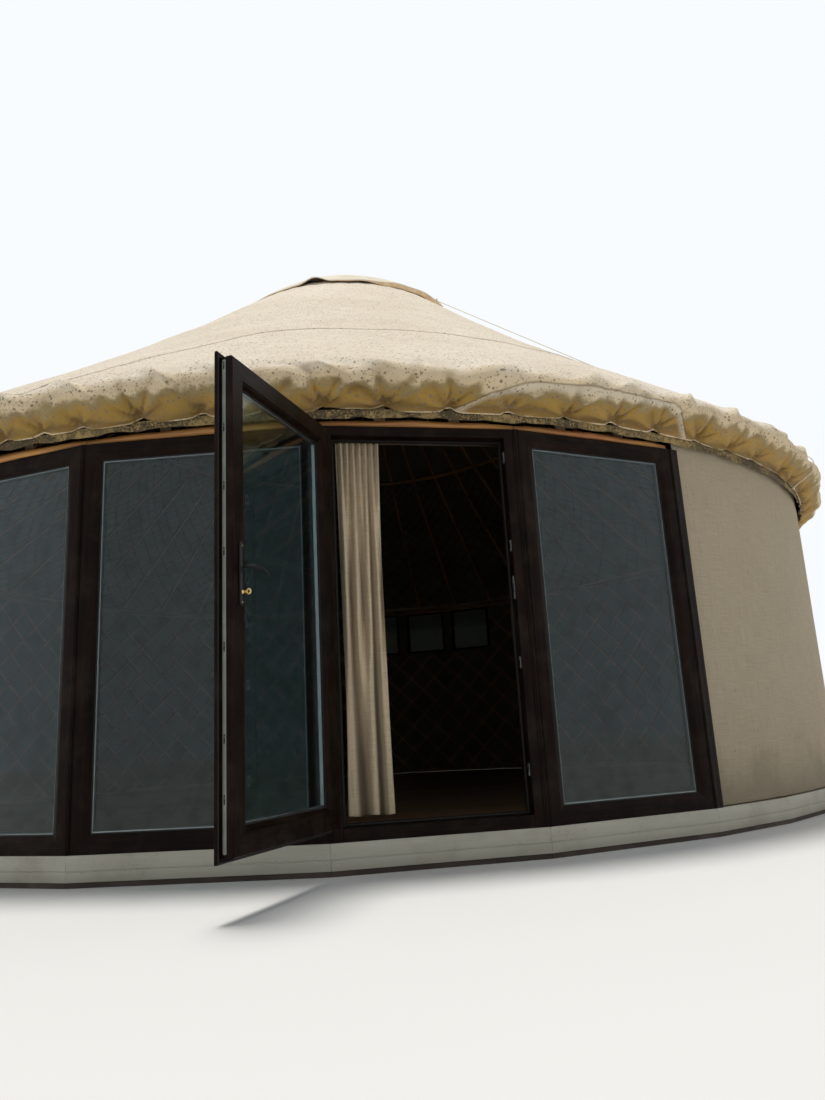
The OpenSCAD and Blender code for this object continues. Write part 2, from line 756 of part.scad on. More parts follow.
// The leaf's half of each hinge: an upper barrel around the pin and a strap on the leaf's rim
module leaf_hinges()
    color([0.24, 0.17, 0.13])
        on_leaf()
            for (z = HINGE_Z)
                difference() {
                    union() {
                        translate([pin_x, pin_y, z + 0.5])
                            cylinder(h = hinge_len / 2 - 0.5, d = hinge_d);
                        block(pin_x, leaf_l - lap_w + 45, leaf_out - lap_t - 5, leaf_out - lap_t - seat,
                            z + 4, z + hinge_len / 2 - 6);
                    }
                    translate([pin_x, pin_y, z])
                        cylinder(h = hinge_len / 2 - 2, d = pin_d + 0.4);
                }

base_strip();
floor_joists();
floor_deck();
plinth_boards();
door_frame();
strike_plates();
frame_hinges();
window_frames_left();
window_frame_right();
window_glass();
corner_posts();
lintel_poles();
front_struts();
wall_canvas(0);  // wall_canvas_1
wall_canvas(1);  // wall_canvas_2
wall_canvas(2);  // wall_canvas_3
wall_canvas(3);  // wall_canvas_4
wall_lattice(0);  // wall_lattice_1
wall_lattice(1);  // wall_lattice_2
wall_lattice(2);  // wall_lattice_3
wall_lattice(3);  // wall_lattice_4
back_window_frames();
back_window_glass();
eave_ring();
roof_poles(-pole_count / 8);  // roof_poles_front
roof_poles(pole_count / 8);  // roof_poles_right
roof_poles(pole_count * 3 / 8);  // roof_poles_back
roof_poles(pole_count * 5 / 8);  // roof_poles_left
roof_canvas(-pole_count / 8);  // roof_canvas_front
roof_canvas(pole_count / 8);  // roof_canvas_right
roof_canvas(pole_count * 3 / 8);  // roof_canvas_back
roof_canvas(pole_count * 5 / 8);  // roof_canvas_left
roof_valance();
crown_ring();
crown_bars();
crown_cover();
cover_ropes();
curtain_rail();
curtain();
leaf_frame();
leaf_glass();
lock_strip();
handle_plates();
handle_lever();
leaf_hinges();
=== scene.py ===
"""A framed tent with a canvas roof and walls on a timber deck, and a glazed front with one hinged door."""
from functools import partial

import bmesh
import bpy
import numpy as np
from mathutils import Matrix

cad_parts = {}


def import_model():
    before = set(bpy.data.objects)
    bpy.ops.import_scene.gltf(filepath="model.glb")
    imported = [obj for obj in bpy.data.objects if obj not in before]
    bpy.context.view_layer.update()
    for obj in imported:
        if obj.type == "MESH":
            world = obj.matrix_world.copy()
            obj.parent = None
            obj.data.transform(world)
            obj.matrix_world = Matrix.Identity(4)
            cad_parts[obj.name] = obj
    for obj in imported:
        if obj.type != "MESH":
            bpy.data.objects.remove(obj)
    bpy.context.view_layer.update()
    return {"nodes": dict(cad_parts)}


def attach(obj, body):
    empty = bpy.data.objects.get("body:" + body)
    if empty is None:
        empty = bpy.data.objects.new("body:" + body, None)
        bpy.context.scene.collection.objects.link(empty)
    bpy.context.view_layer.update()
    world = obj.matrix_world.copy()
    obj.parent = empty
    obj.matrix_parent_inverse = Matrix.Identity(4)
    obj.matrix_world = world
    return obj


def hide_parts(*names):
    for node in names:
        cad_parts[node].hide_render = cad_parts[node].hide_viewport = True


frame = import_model()

# Camera: the eye stands on the ground outside, low and a little left of the doorway, and looks up
# at the roof. The lens is a phone's wide one, on a long side of 36 mm.
EYE = np.array([-0.863, -8.198, 0.574])
YAW, PITCH, ROLL = np.radians([11.31, 13.06, -3.12])
LENS_MM = 27.03

ahead = np.array([np.sin(YAW) * np.cos(PITCH), np.cos(YAW) * np.cos(PITCH), np.sin(PITCH)])
level = np.array([np.cos(YAW), -np.sin(YAW), 0.0])
square_up = np.cross(level, ahead)
to_right = level * np.cos(ROLL) + square_up * np.sin(ROLL)
to_top = square_up * np.cos(ROLL) - level * np.sin(ROLL)
camera = bpy.data.objects.new("camera", bpy.data.cameras.new("camera"))
camera.data.lens = LENS_MM
camera.data.sensor_width = 36.0
camera.data.clip_end = 200.0
axes = np.stack([to_right, to_top, -ahead, EYE], axis=1)
camera.matrix_world = Matrix([*axes.tolist(), [0, 0, 0, 1]])
bpy.context.scene.collection.objects.link(camera)
bpy.context.scene.camera = camera


# Plinth: painted boards with one groove, nailed upright around the deck over a dark sill strip.
# They stand on the flat sides of the plan, and meet in a mitre at each corner.
PLAN_R = 4.282
DOOR_HALF = 7.0425
LEFT_MID, LEFT_END, RIGHT_END = -23.693, -40.3435, 21.2625
WALL_SIDES = 32
STRIP_TOP, DECK_TOP = 0.025, 0.144
BOARD_T, BOARD_H, BOARD_GAP = 0.028, 0.119, 0.0006
GROOVE_Z = 0.075
PAINT = (0.56, 0.54, 0.455, 1)
PAINT_DIRT = (0.27, 0.24, 0.17, 1)
STRIP_DARK = (0.045, 0.032, 0.024, 1)
STRIP_PALE = (0.12, 0.09, 0.065, 1)

WALL_STEP = (360 + LEFT_END - RIGHT_END) / WALL_SIDES
FRONT = [(LEFT_END, LEFT_MID), (LEFT_MID, -DOOR_HALF), (-DOOR_HALF, DOOR_HALF), (DOOR_HALF, RIGHT_END)]
UP = np.array([0, 0, 1.0])
WALL = [(RIGHT_END + k * WALL_STEP, RIGHT_END + (k + 1) * WALL_STEP) for k in range(WALL_SIDES)]


def turns(count):
    """Even angles once round a circle, in radians."""
    return np.linspace(0, 2 * np.pi, count, endpoint=False)


def around(angle, radius, z):
    """Points at angles in degrees from the doorway, towards +X, at a radius and a height."""
    angle, radius, z = np.broadcast_arrays(np.radians(angle), radius, z)
    return np.stack([radius * np.sin(angle), -radius * np.cos(angle), z], axis=-1)


def on_side(ends, points):
    """Points given along, into and up one flat side of the plan, turned by the side's middle angle and
    moved out by the side's distance from the centre."""
    middle, half = np.radians(sum(ends) / 2), np.radians((ends[1] - ends[0]) / 2)
    x, y, z = np.moveaxis(np.asarray(points, float), -1, 0)
    y = y - PLAN_R * np.cos(half)
    return np.stack([x * np.cos(middle) - y * np.sin(middle), x * np.sin(middle) + y * np.cos(middle), z],
                    axis=-1)


def patch(points, ring=False, ends=False, flip=False, uv=None):
    """Faces over a grid of points, rows by columns. On a ring the last column joins the first, and ends
    closes its first and last rows. The map holds metres along the rows and across the columns."""
    rows, cols = points.shape[:2]
    if uv is None:
        steps = np.linalg.norm(np.diff(points, axis=0), axis=2).mean(axis=1)
        closed = np.concatenate([points, points[:, :1]], axis=1) if ring else points
        widths = np.linalg.norm(np.diff(closed, axis=1), axis=2).mean(axis=0)
        along, across = np.r_[0, np.cumsum(steps)], np.r_[0, np.cumsum(widths)]
        uv = np.stack(np.meshgrid(along, across, indexing="ij"), axis=-1)
    i, j = (x.ravel() for x in np.meshgrid(np.arange(rows - 1), np.arange(cols - 1 + ring), indexing="ij"))
    k = (j + 1) % cols
    quads = np.stack([i * cols + j, i * cols + k, (i + 1) * cols + k, (i + 1) * cols + j], axis=1)
    corners = np.stack([uv[i, j], uv[i, j + 1], uv[i + 1, j + 1], uv[i + 1, j]], axis=1)
    if flip:
        quads, corners = quads[:, ::-1], corners[:, ::-1]
    caps = [np.arange(cols)[::-1], np.arange(cols) + (rows - 1) * cols] if ends else []
    return points.reshape(-1, 3), quads, corners, caps


def solid(points):
    """A closed form: rings of points, one a row, with the first and the last ring capped."""
    return patch(points, ring=True, ends=True)


def piece(name, parts, material, body, replaced=(), sheet=False, sharp=40.0, marks=()):
    """A mesh object made of patches, which rides on a body. Faces of a closed form are turned outwards,
    and a sheet's are left as its patches have them."""
    places, faces, corners, first = [], [], [], 0
    for points, quads, uv, caps in parts:
        places.append(points)
        faces += (quads + first).tolist() + [(cap + first).tolist() for cap in caps]
        corners += [uv.reshape(-1, 2)] + [np.repeat(uv[0, :1], len(cap), axis=0) for cap in caps]
        first += len(points)
    mesh = bpy.data.meshes.new(name)
    mesh.from_pydata(np.concatenate(places).tolist(), [], faces)
    mapped = np.concatenate(corners).astype(np.float32).ravel()
    mesh.uv_layers.new(name="UVMap").data.foreach_set("uv", mapped)
    for label, values in dict(marks).items():
        stored = mesh.attributes.new(label, "FLOAT", "POINT")
        stored.data.foreach_set("value", values.astype(np.float32).ravel())
    if not sheet:
        work = bmesh.new()
        work.from_mesh(mesh)
        bmesh.ops.recalc_face_normals(work, faces=work.faces)
        work.to_mesh(mesh)
        work.free()
    mesh.polygons.foreach_set("use_smooth", np.ones(len(mesh.polygons), bool))
    mesh.set_sharp_from_angle(angle=np.radians(sharp))
    mesh.materials.append(material)
    made = bpy.data.objects.new(name, mesh)
    bpy.context.scene.collection.objects.link(made)
    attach(made, body)
    if replaced:
        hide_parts(*replaced)
    return made


def add(tree, kind, **settings):
    """A node in a shader tree. A name in capitals sets a property, any other name or _number an input,
    as a value or as a link from a socket."""
    made = tree.nodes.new("ShaderNode" + kind)
    for name, value in settings.items():
        if name.isupper() and len(name) > 1:
            setattr(made, name.lower(), value)
            continue
        socket = made.inputs[int(name[1:])] if name[0] == "_" else made.inputs[name.replace("_", " ")]
        if isinstance(value, bpy.types.NodeSocket):
            tree.links.new(value, socket)
        else:
            socket.default_value = value
    return made


def tree_of(*values):
    """The node tree of the first value that is a socket."""
    return next(value.id_data for value in values if isinstance(value, bpy.types.NodeSocket))


def mixed(mask, low, high):
    """The colour low where the mask is 0 and high where it is 1."""
    return add(tree_of(mask, low, high), "Mix", DATA_TYPE="RGBA", _0=mask, _6=low, _7=high).outputs[2]


def eased(value, start, end, low=0.0, high=1.0):
    """A value that goes smoothly from low at start to high at end."""
    return add(tree_of(value), "MapRange", INTERPOLATION_TYPE="SMOOTHSTEP", Value=value, _1=start, _2=end,
               _3=low, _4=high).outputs[0]


def math(kind, a, b=0.0):
    """Two values joined by an operation of the Math node."""
    return add(tree_of(a, b), "Math", OPERATION=kind, _0=a, _1=b).outputs[0]


def times(a, b):
    """Two values multiplied."""
    return math("MULTIPLY", a, b)


def plus(a, b):
    """Two values added."""
    return math("ADD", a, b)


def larger(a, b):
    """The larger of two values."""
    return math("MAXIMUM", a, b)


def noise(where, scale, detail=3.0, rough=0.55):
    """Cloudy noise from 0 to 1, at so many cells to a metre."""
    return add(tree_of(where), "TexNoise", Vector=where, Scale=scale, Detail=detail,
               Roughness=rough).outputs[0]


def stretched(where, scale):
    """Coordinates multiplied by a scale of their own in each direction."""
    return add(tree_of(where), "Mapping", Vector=where, Scale=scale).outputs[0]


def split(where):
    """The three coordinates of a place, each on its own."""
    return add(tree_of(where), "SeparateXYZ", Vector=where).outputs


def finish(name, rough=0.6, metal=0.0, **constants):
    """A new material, its shader, and its surface and object coordinates."""
    made = bpy.data.materials.new(name)
    made.use_nodes = True
    tree = made.node_tree
    shader = tree.nodes["Principled BSDF"]
    shader.inputs["Roughness"].default_value = rough
    shader.inputs["Metallic"].default_value = metal
    for label, value in constants.items():
        shader.inputs[label.replace("_", " ")].default_value = value
    where = add(tree, "TexCoord").outputs
    return made, shader, where["UV"], where["Object"]


def attribute(shader, name):
    """A number that the mesh carries at each of its points."""
    return add(shader.id_data, "Attribute", ATTRIBUTE_NAME=name).outputs["Fac"]


def coat(shader, colour, height=None, depth=0.001, rough=None):
    """Links a colour, a height in metres as bump, and a roughness to the shader."""
    tree = shader.id_data
    tree.links.new(colour, shader.inputs["Base Color"])
    if height is not None:
        bump = add(tree, "Bump", Height=height, Distance=depth, Strength=1.0)
        tree.links.new(bump.outputs[0], shader.inputs["Normal"])
    if rough is not None:
        tree.links.new(rough, shader.inputs["Roughness"])


def drifting(name, scale, low, high, rough, metal=0.0, **constants):
    """A finish whose colour drifts between two with cloudy noise of a scale."""
    made, shader, uv, place = finish(name, rough, metal, **constants)
    coat(shader, mixed(noise(place, scale), low, high))
    return made


def effect(name, inputs, outputs):
    """An empty node group with named inputs, each a kind and a value, and named outputs, each a kind."""
    made = bpy.data.node_groups.new(name, "ShaderNodeTree")
    for label, (kind, value) in inputs.items():
        socket = made.interface.new_socket(label, in_out="INPUT", socket_type="NodeSocket" + kind)
        if value is not None:
            socket.default_value = value
    for label, kind in outputs.items():
        made.interface.new_socket(label, in_out="OUTPUT", socket_type="NodeSocket" + kind)
    return made, made.nodes.new("NodeGroupInput").outputs, made.nodes.new("NodeGroupOutput").inputs


def use(made, **inputs):
    """Places a node group in a material and gives its outputs."""
    tree = tree_of(*inputs.values())
    node = add(tree, "Group", NODE_TREE=made)
    for name, value in inputs.items():
        if isinstance(value, bpy.types.NodeSocket):
            tree.links.new(value, node.inputs[name])
        else:
            node.inputs[name].default_value = value
    return node.outputs


# Grain runs along the first direction of its coordinates: long soft bands, fine lines and pores.
grain, g_in, g_out = effect("grain", {"Vector": ("Vector", None), "Fineness": ("Float", 1.0)},
                            {"Bands": "Float", "Lines": "Float"})
g_where = add(grain, "VectorMath", OPERATION="SCALE", Vector=g_in["Vector"],
              Scale=g_in["Fineness"]).outputs[0]
bands = noise(stretched(g_where, (1.2, 22.0, 22.0)), 1.0, 4.0, 0.6)
lines = noise(stretched(g_where, (9.0, 420.0, 420.0)), 1.0, 2.0, 0.5)
grain.links.new(bands, g_out["Bands"])
grain.links.new(lines, g_out["Lines"])

# Dirt gathers in blotches and specks, more of both where the amount is higher.
dirt, d_in, d_out = effect("dirt", {"Vector": ("Vector", None), "Speck": ("Float", 0.01),
                                    "Amount": ("Float", 0.3)}, {"Specks": "Float", "Blotches": "Float"})
d_scale = math("DIVIDE", 1.0, d_in["Speck"])
fine = noise(d_in["Vector"], d_scale, 2.0, 0.6)
wide = noise(d_in["Vector"], times(d_scale, 0.045), 3.0, 0.6)
fill = times(d_in["Amount"], eased(wide, 0.3, 0.75, 0.35, 1.3))
edge_low = math("SUBTRACT", 0.74, times(fill, 0.3))
dirt.links.new(eased(fine, edge_low, plus(edge_low, 0.07)), d_out["Specks"])
dirt.links.new(eased(wide, 0.42, 0.78), d_out["Blotches"])

paint, shader, uv, place = finish("brushed_pale_paint", 0.62)
streaks = use(grain, Vector=uv, Fineness=0.6)
grime = use(dirt, Vector=place, Speck=0.012, Amount=0.45)
height = split(place)[2]
low_down = eased(height, STRIP_TOP + 0.05, STRIP_TOP, 0.0, 0.75)
soiled = larger(times(grime["Specks"], 0.6), times(plus(low_down, grime["Blotches"]), 0.4))
brushed = mixed(eased(streaks["Bands"], 0.25, 0.75), (0.47, 0.455, 0.375, 1), PAINT)
coat(shader, mixed(soiled, brushed, PAINT_DIRT), streaks["Lines"], 0.0004)

groove_z = GROOVE_Z - STRIP_TOP
board_section = np.array([[0.0015, 0.0], [0.0, 0.002], [0.0, groove_z - 0.006], [0.0045, groove_z - 0.003],
                          [0.005, groove_z], [0.0008, groove_z + 0.002], [0.0, groove_z + 0.006],
                          [0.0, BOARD_H - 0.0025], [0.0025, BOARD_H], [BOARD_T, BOARD_H], [BOARD_T, 0.0]])


def along_side(ends, section, z):
    """A closed section, as depth and height, carried along one side of the plan between its mitred corners:
    at each end it stops where the corner's own line crosses its depth."""
    half = np.radians((ends[1] - ends[0]) / 2)
    reach = (PLAN_R * np.cos(half) - section[:, 0]) * np.tan(half) - BOARD_GAP
    x = np.array([[-1.0], [1.0]]) * reach
    y = np.broadcast_to(section[:, 0], x.shape)
    return on_side(ends, np.stack([x, y, np.broadcast_to(section[:, 1] + z, x.shape)], axis=-1))


piece("plinth_cladding", [solid(along_side(s, board_section, STRIP_TOP)) for s in FRONT + WALL], paint,
      "yurt", ["plinth_boards"], sharp=25)

strip, shader, uv, place = finish("tarred_sill_strip", 0.8)
tar = use(dirt, Vector=place, Speck=0.02, Amount=0.7)
coat(shader, mixed(tar["Blotches"], STRIP_DARK, STRIP_PALE), tar["Blotches"], 0.003)


def refinish(node, made, bevel=0.0):
    """Gives a node of the frame its finish and, if it has sharp edges, a small round on them."""
    part = frame["nodes"][node]
    part.data.materials.clear()
    part.data.materials.append(made)
    if bevel:
        join = part.modifiers.new("join", "WELD")
        join.merge_threshold = 0.00002
        edge = part.modifiers.new("edge", "BEVEL")
        edge.width, edge.segments, edge.limit_method = bevel, 2, "ANGLE"
        edge.angle_limit = np.radians(35)


refinish("base_strip", strip, 0.002)

# Nails: round-headed and galvanised, two to each end of a plinth board, driven flush through its
# painted face into the deck.
NAIL_R, NAIL_RISE = 0.0035, 0.0012
NAIL_IN, NAIL_Z = 0.035, (0.05, 0.125)

zinc, shader, uv, place = finish("dull_zinc", 0.42, 1.0)
bloom = noise(place, 60.0, 4.0)
coat(shader, mixed(bloom, (0.36, 0.37, 0.38, 1), (0.62, 0.64, 0.65, 1)), bloom, 0.0002,
     eased(bloom, 0.3, 0.8, 0.32, 0.55))


def dome(centre, axis_u, axis_v, out, radius, rise, sides=10, rings=3):
    """A low round head: rings of points about a centre, each further out and nearer to the middle by the
    sine and cosine of its step."""
    step = np.linspace(0, np.pi / 2, rings + 1)[:, None]
    turn = turns(sides)[None, :]
    flat = radius * np.cos(step) + 0 * turn
    centre, axis_u, axis_v, out = (np.asarray(x, float) for x in (centre, axis_u, axis_v, out))
    points = (centre + (flat * np.cos(turn))[..., None] * axis_u + (flat * np.sin(turn))[..., None] * axis_v
              + (rise * np.sin(step) + 0 * turn)[..., None] * out)
    points[-1] = centre + rise * out + 1e-5 * (points[0] - centre)
    return solid(points)


def side_vectors(ends):
    """The directions along, out of and up one side of the plan."""
    middle = np.radians(sum(ends) / 2)
    return np.array([np.cos(middle), np.sin(middle), 0]), np.array([np.sin(middle), -np.cos(middle), 0]), UP


nails = []
for ends in FRONT + WALL:
    reach = PLAN_R * np.sin(np.radians((ends[1] - ends[0]) / 2)) - NAIL_IN
    along, out, up = side_vectors(ends)
    for x in (-reach, reach):
        for z in NAIL_Z:
            nails.append(dome(on_side(ends, [x, 0.0002, z]), along, up, out, NAIL_R, NAIL_RISE, 8, 2))
piece("plinth_nails", nails, zinc, "yurt")


# Deck: sawn softwood joists carry oiled floor boards, tongued together, that run along X with dark
# joints between them.
PLANK_W = 0.12
JOIST_PALE = (0.42, 0.29, 0.165, 1)
JOIST_DARK = (0.23, 0.145, 0.08, 1)
FLOOR_PALE = (0.33, 0.19, 0.1, 1)
FLOOR_DARK = (0.16, 0.08, 0.04, 1)

sawn, shader, uv, place = finish("sawn_softwood", 0.75)
figure = use(grain, Vector=place, Fineness=1.0)
coat(shader, mixed(eased(figure["Bands"], 0.3, 0.7), JOIST_DARK, JOIST_PALE), figure["Lines"], 0.0008)
refinish("floor_joists", sawn, 0.003)

planks, shader, uv, place = finish("oiled_floor_boards", 0.45, Coat_Weight=0.15)
spot = split(place)
lane = math("DIVIDE", spot[1], PLANK_W)
number = math("FLOOR", lane)
within = math("FRACT", lane)
joint = larger(eased(within, 0.02, 0.0), eased(within, 0.98, 1.0))
shift = add(shader.id_data, "CombineXYZ", X=times(number, 3.7), Y=number).outputs[0]
figure = use(grain, Vector=add(shader.id_data, "VectorMath", OPERATION="ADD", _0=place,
                               _1=shift).outputs[0], Fineness=0.8)
tone = add(shader.id_data, "TexWhiteNoise", NOISE_DIMENSIONS="1D", W=number).outputs[0]
board = mixed(times(plus(figure["Bands"], tone), 0.6), FLOOR_DARK, FLOOR_PALE)
level_z = math("SUBTRACT", times(figure["Lines"], 0.1), joint)
coat(shader, mixed(joint, board, (0.02, 0.012, 0.008, 1)), level_z, 0.003)
refinish("floor_deck", planks)


# Fixed windows: mitred plastic members under a dark wood-grain foil, with an outer lip, a clipped
# bead inside, and black gaskets against the sealed glazing.
FRAME_FACE_Y, FRAME_D = 0.006, 0.07
FRAME_TOP = 2.165
WINDOW_FACE = 0.088
CORNER_COVER = 0.012
GLASS_Y, GLASS_T = 0.02, 0.024
FOIL_DARK = (0.0036, 0.0018, 0.0013, 1)
FOIL_PALE = (0.015, 0.0066, 0.004, 1)

foil, shader, uv, place = finish("dark_wood_grain_foil", 0.38, Specular_IOR_Level=0.05)
figure = use(grain, Vector=uv, Fineness=1.5)
pores = eased(figure["Lines"], 0.56, 0.72)
veined = mixed(eased(figure["Bands"], 0.28, 0.74), FOIL_DARK, FOIL_PALE)
dusted = use(dirt, Vector=place, Speck=0.006, Amount=0.35)
foil_plain = mixed(pores, veined, FOIL_DARK)
aged_and_shaded = mixed(times(dusted["Blotches"], 0.08), foil_plain, (0.16, 0.13, 0.095, 1))
coat(shader, aged_and_shaded, math("SUBTRACT", 1.0, pores), 0.00025, eased(dusted["Blotches"], 0.0, 1.0, 0.3, 0.5))

rubber = drifting("black_gasket", 90.0, (0.007, 0.007, 0.007, 1), (0.022, 0.021, 0.02, 1), 0.7,
                  Specular_IOR_Level=0.25)


def member(start, end, inward, section, cuts=(1, 1), gap=0.0002):
    """A straight member along a line: the section's first coordinate goes inwards from the line and its
    second into the wall, and each end is cut back by its cut times the first coordinate, so that 1 is a
    mitre."""
    start, end, inward = (np.asarray(v, float) for v in (start, end, inward))
    along = (end - start) / np.linalg.norm(end - start)
    flat = section[:, :1] * inward + section[:, 1:] * np.array([0, 1.0, 0])
    first = start + flat + (cuts[0] * section[:, :1] + gap) * along
    last = end + flat - (cuts[1] * section[:, :1] + gap) * along
    return np.stack([first, last])


def frame_of(x0, x1, y, z0, z1, section):
    """The four mitred members around a rectangle, outside edge to outside edge."""
    corners = [(x0, y, z0), (x1, y, z0), (x1, y, z1), (x0, y, z1)]
    inwards = [(0, 0, 1), (-1, 0, 0), (0, 0, -1), (1, 0, 0)]
    return [member(corners[i], corners[(i + 1) % 4], inwards[i], section) for i in range(4)]


def solids_on(place, grids):
    """Closed forms, each drawn flat and put in its place."""
    return [solid(place(grid)) for grid in grids]


def glazed_section(face, depth, glass):
    """The section of a member that holds glass: a flat face, a lip that slopes to the glass, its seat,
    and a bead that slopes away from the glass on the other face."""
    back = glass + GLASS_T
    return np.array([[0, 0.0015], [0.0015, 0], [face - 0.03, 0], [face - 0.026, 0.0012],
                     [face - 0.006,
                      glass - 0.009], [face - 0.001,
                                       glass - 0.006], [face, glass - 0.003], [face,
                                       back + 0.003], [face - 0.002, back + 0.007], [face - 0.013,
                                       depth - 0.008], [face - 0.019, depth - 0.006], [face - 0.02,
                                       depth - 0.0015], [face - 0.0225, depth], [0.0015, depth], [0,
                                       depth - 0.0015]])


def gaskets_of(x0, x1, y, z0, z1):
    """Two thin rubber strips that press on the glass around a rectangle of glass."""
    strip_in = np.array([[-0.001, -0.0032], [0.0045, -0.0032], [0.0055, -0.0004], [-0.001, -0.0004]])
    strip_out = strip_in * [1, -1] + [0, GLASS_T]
    return frame_of(x0, x1, y, z0, z1, strip_in) + frame_of(x0, x1, y, z0, z1, strip_out)


def window_bounds(ends):
    """How far a frame reaches along its side."""
    half = PLAN_R * np.sin(np.radians((ends[1] - ends[0]) / 2))
    return -half + CORNER_COVER, half - CORNER_COVER


window_section = glazed_section(WINDOW_FACE, FRAME_D, GLASS_Y)
for name, sides, node in (("window_frames_1_2", FRONT[:2], "window_frames_left"),
                          ("window_frame_3", FRONT[3:], "window_frame_right")):
    parts, seals = [], []
    for ends in sides:
        x0, x1 = window_bounds(ends)
        here = partial(on_side, ends)
        parts += solids_on(here, frame_of(x0, x1, FRAME_FACE_Y, DECK_TOP, FRAME_TOP, window_section))
        seals += solids_on(here, gaskets_of(x0 + WINDOW_FACE, x1 - WINDOW_FACE, FRAME_FACE_Y + GLASS_Y,
                                            DECK_TOP + WINDOW_FACE, FRAME_TOP - WINDOW_FACE))
    piece(name, parts, foil, "yurt", [node], sharp=20)
    piece(name + "_gaskets", seals, rubber, "yurt")


# Posts: hollow covers that close the corners between the frames, with two drawn grooves on the outer
# face. The broader ones at both ends carry the edge of the canvas wall.
END_POST_W, LATCH_COVER = 0.06, 0.024


def post_outline(angle, half_before, reach_before, half_after, reach_after):
    """The outline of a post seen from above: out along the side before the corner, along the side after it,
    and back behind the frames, with a groove near each end of its outer face."""
    front, back = FRAME_FACE_Y - 0.003, FRAME_FACE_Y + FRAME_D
    bend = np.radians([half_before, half_after])

    def before(x, y):
        return [-x * np.cos(bend[0]) + y * np.sin(bend[0]), x * np.sin(bend[0]) + y * np.cos(bend[0])]

    def after(x, y):
        return [x * np.cos(bend[1]) - y * np.sin(bend[1]), x * np.sin(bend[1]) + y * np.cos(bend[1])]

    def groove_at(side, x):
        return [side(x + 0.0016, front), side(x + 0.0006, front + 0.0035), side(x - 0.0006, front + 0.0035),
                side(x - 0.0016, front)]

    outline = [before(reach_before, back), before(reach_before, front + 0.001),
               before(reach_before - 0.001, front)]
    outline += groove_at(before, reach_before * 0.6)
    outline += [[-0.0012, front], [0, front + 0.0028], [0.0012, front]]
    outline += groove_at(after, reach_after * 0.6)[::-1]
    outline += [after(reach_after - 0.001, front), after(reach_after, front + 0.001),
                after(reach_after, back)]
    outline = np.array(outline)
    turn = np.radians(angle)
    x, y = outline[:, 0], outline[:, 1] - PLAN_R
    return np.stack([x * np.cos(turn) - y * np.sin(turn), x * np.sin(turn) + y * np.cos(turn)], axis=1)


half_left, half_right, half_wall = (LEFT_MID - LEFT_END) / 2, (RIGHT_END - DOOR_HALF) / 2, WALL_STEP / 2
POSTS = [(LEFT_END, half_wall, END_POST_W, half_left, CORNER_COVER),
         (LEFT_MID, half_left, CORNER_COVER, half_left, CORNER_COVER),
         (-DOOR_HALF, half_left, CORNER_COVER, DOOR_HALF, CORNER_COVER),
         (DOOR_HALF, DOOR_HALF, LATCH_COVER, half_right, CORNER_COVER),
         (RIGHT_END, half_right, CORNER_COVER, half_wall, END_POST_W)]
parts = []
for post in POSTS:
    outline = post_outline(*post)
    rows = [np.column_stack([outline, np.full(len(outline), z)]) for z in (DECK_TOP, FRAME_TOP)]
    parts.append(solid(np.stack(rows)))
piece("front_posts", parts, foil, "yurt", ["corner_posts"], sharp=20)


# Sealed glazing: two 4 mm panes of float glass held apart by an aluminium spacer bar, which shows as a
# thin line inside the frame. The frames' beads clip it in.
PANE_T = 0.004
SPACER_IN, SPACER_H = 0.003, 0.009

clear, shader, uv, place = finish("clear_float_glass", 0.02, IOR=1.26, Transmission_Weight=1.0)
film = use(dirt, Vector=place, Speck=0.004, Amount=0.15)
coat(shader, mixed(film["Blotches"], (0.7, 0.79, 0.79, 1), (0.6, 0.69, 0.68, 1)), None, 0,
     eased(film["Blotches"], 0.4, 1.0, 0.015, 0.06))

bright = drifting("bright_spacer_bar", 200.0, (0.25, 0.26, 0.27, 1), (0.37, 0.38, 0.39, 1), 0.35, 1.0)


def block(x0, x1, y0, y1, z0, z1, edge=0.0006):
    """A box with narrow bevels on its long edges: a ring of eight points at four heights."""
    ring = np.array([[x0 + edge, y0], [x1 - edge, y0], [x1, y0 + edge], [x1, y1 - edge], [x1 - edge, y1],
                     [x0 + edge, y1], [x0, y1 - edge], [x0, y0 + edge]])
    middle = ring.mean(axis=0)
    inner = middle + (ring - middle) * (1 - 2 * edge / np.array([x1 - x0, y1 - y0]))
    rings = ((inner, z0), (ring, z0 + edge), (ring, z1 - edge), (inner, z1))
    return np.stack([np.column_stack([r, np.full(8, z)]) for r, z in rings])


def glazing(x0, x1, y, z0, z1):
    """The panes and the spacer bar of one sealed unit, seen from outside."""
    panes = [block(x0, x1, y, y + PANE_T, z0, z1), block(x0, x1, y + GLASS_T - PANE_T, y + GLASS_T, z0, z1)]
    far = GLASS_T - PANE_T
    bar = np.array([[0, PANE_T], [SPACER_H - 0.001, PANE_T], [SPACER_H, PANE_T + 0.002],
                    [SPACER_H, far - 0.002], [SPACER_H - 0.001, far], [0, far]])
    bars = frame_of(x0 + SPACER_IN, x1 - SPACER_IN, y, z0 + SPACER_IN, z1 - SPACER_IN, bar)
    return panes, bars


parts, spacers = [], []
for ends in (FRONT[0], FRONT[1], FRONT[3]):
    x0, x1 = window_bounds(ends)
    inset = WINDOW_FACE + 0.0005
    panes, bars = glazing(x0 + inset, x1 - inset, FRAME_FACE_Y + GLASS_Y, DECK_TOP + inset, FRAME_TOP - inset)
    parts += solids_on(partial(on_side, ends), panes)
    spacers += solids_on(partial(on_side, ends), bars)
piece("window_panes", parts, clear, "yurt", ["window_glass"], sharp=20)
piece("window_spacers", spacers, bright, "yurt", sharp=20)


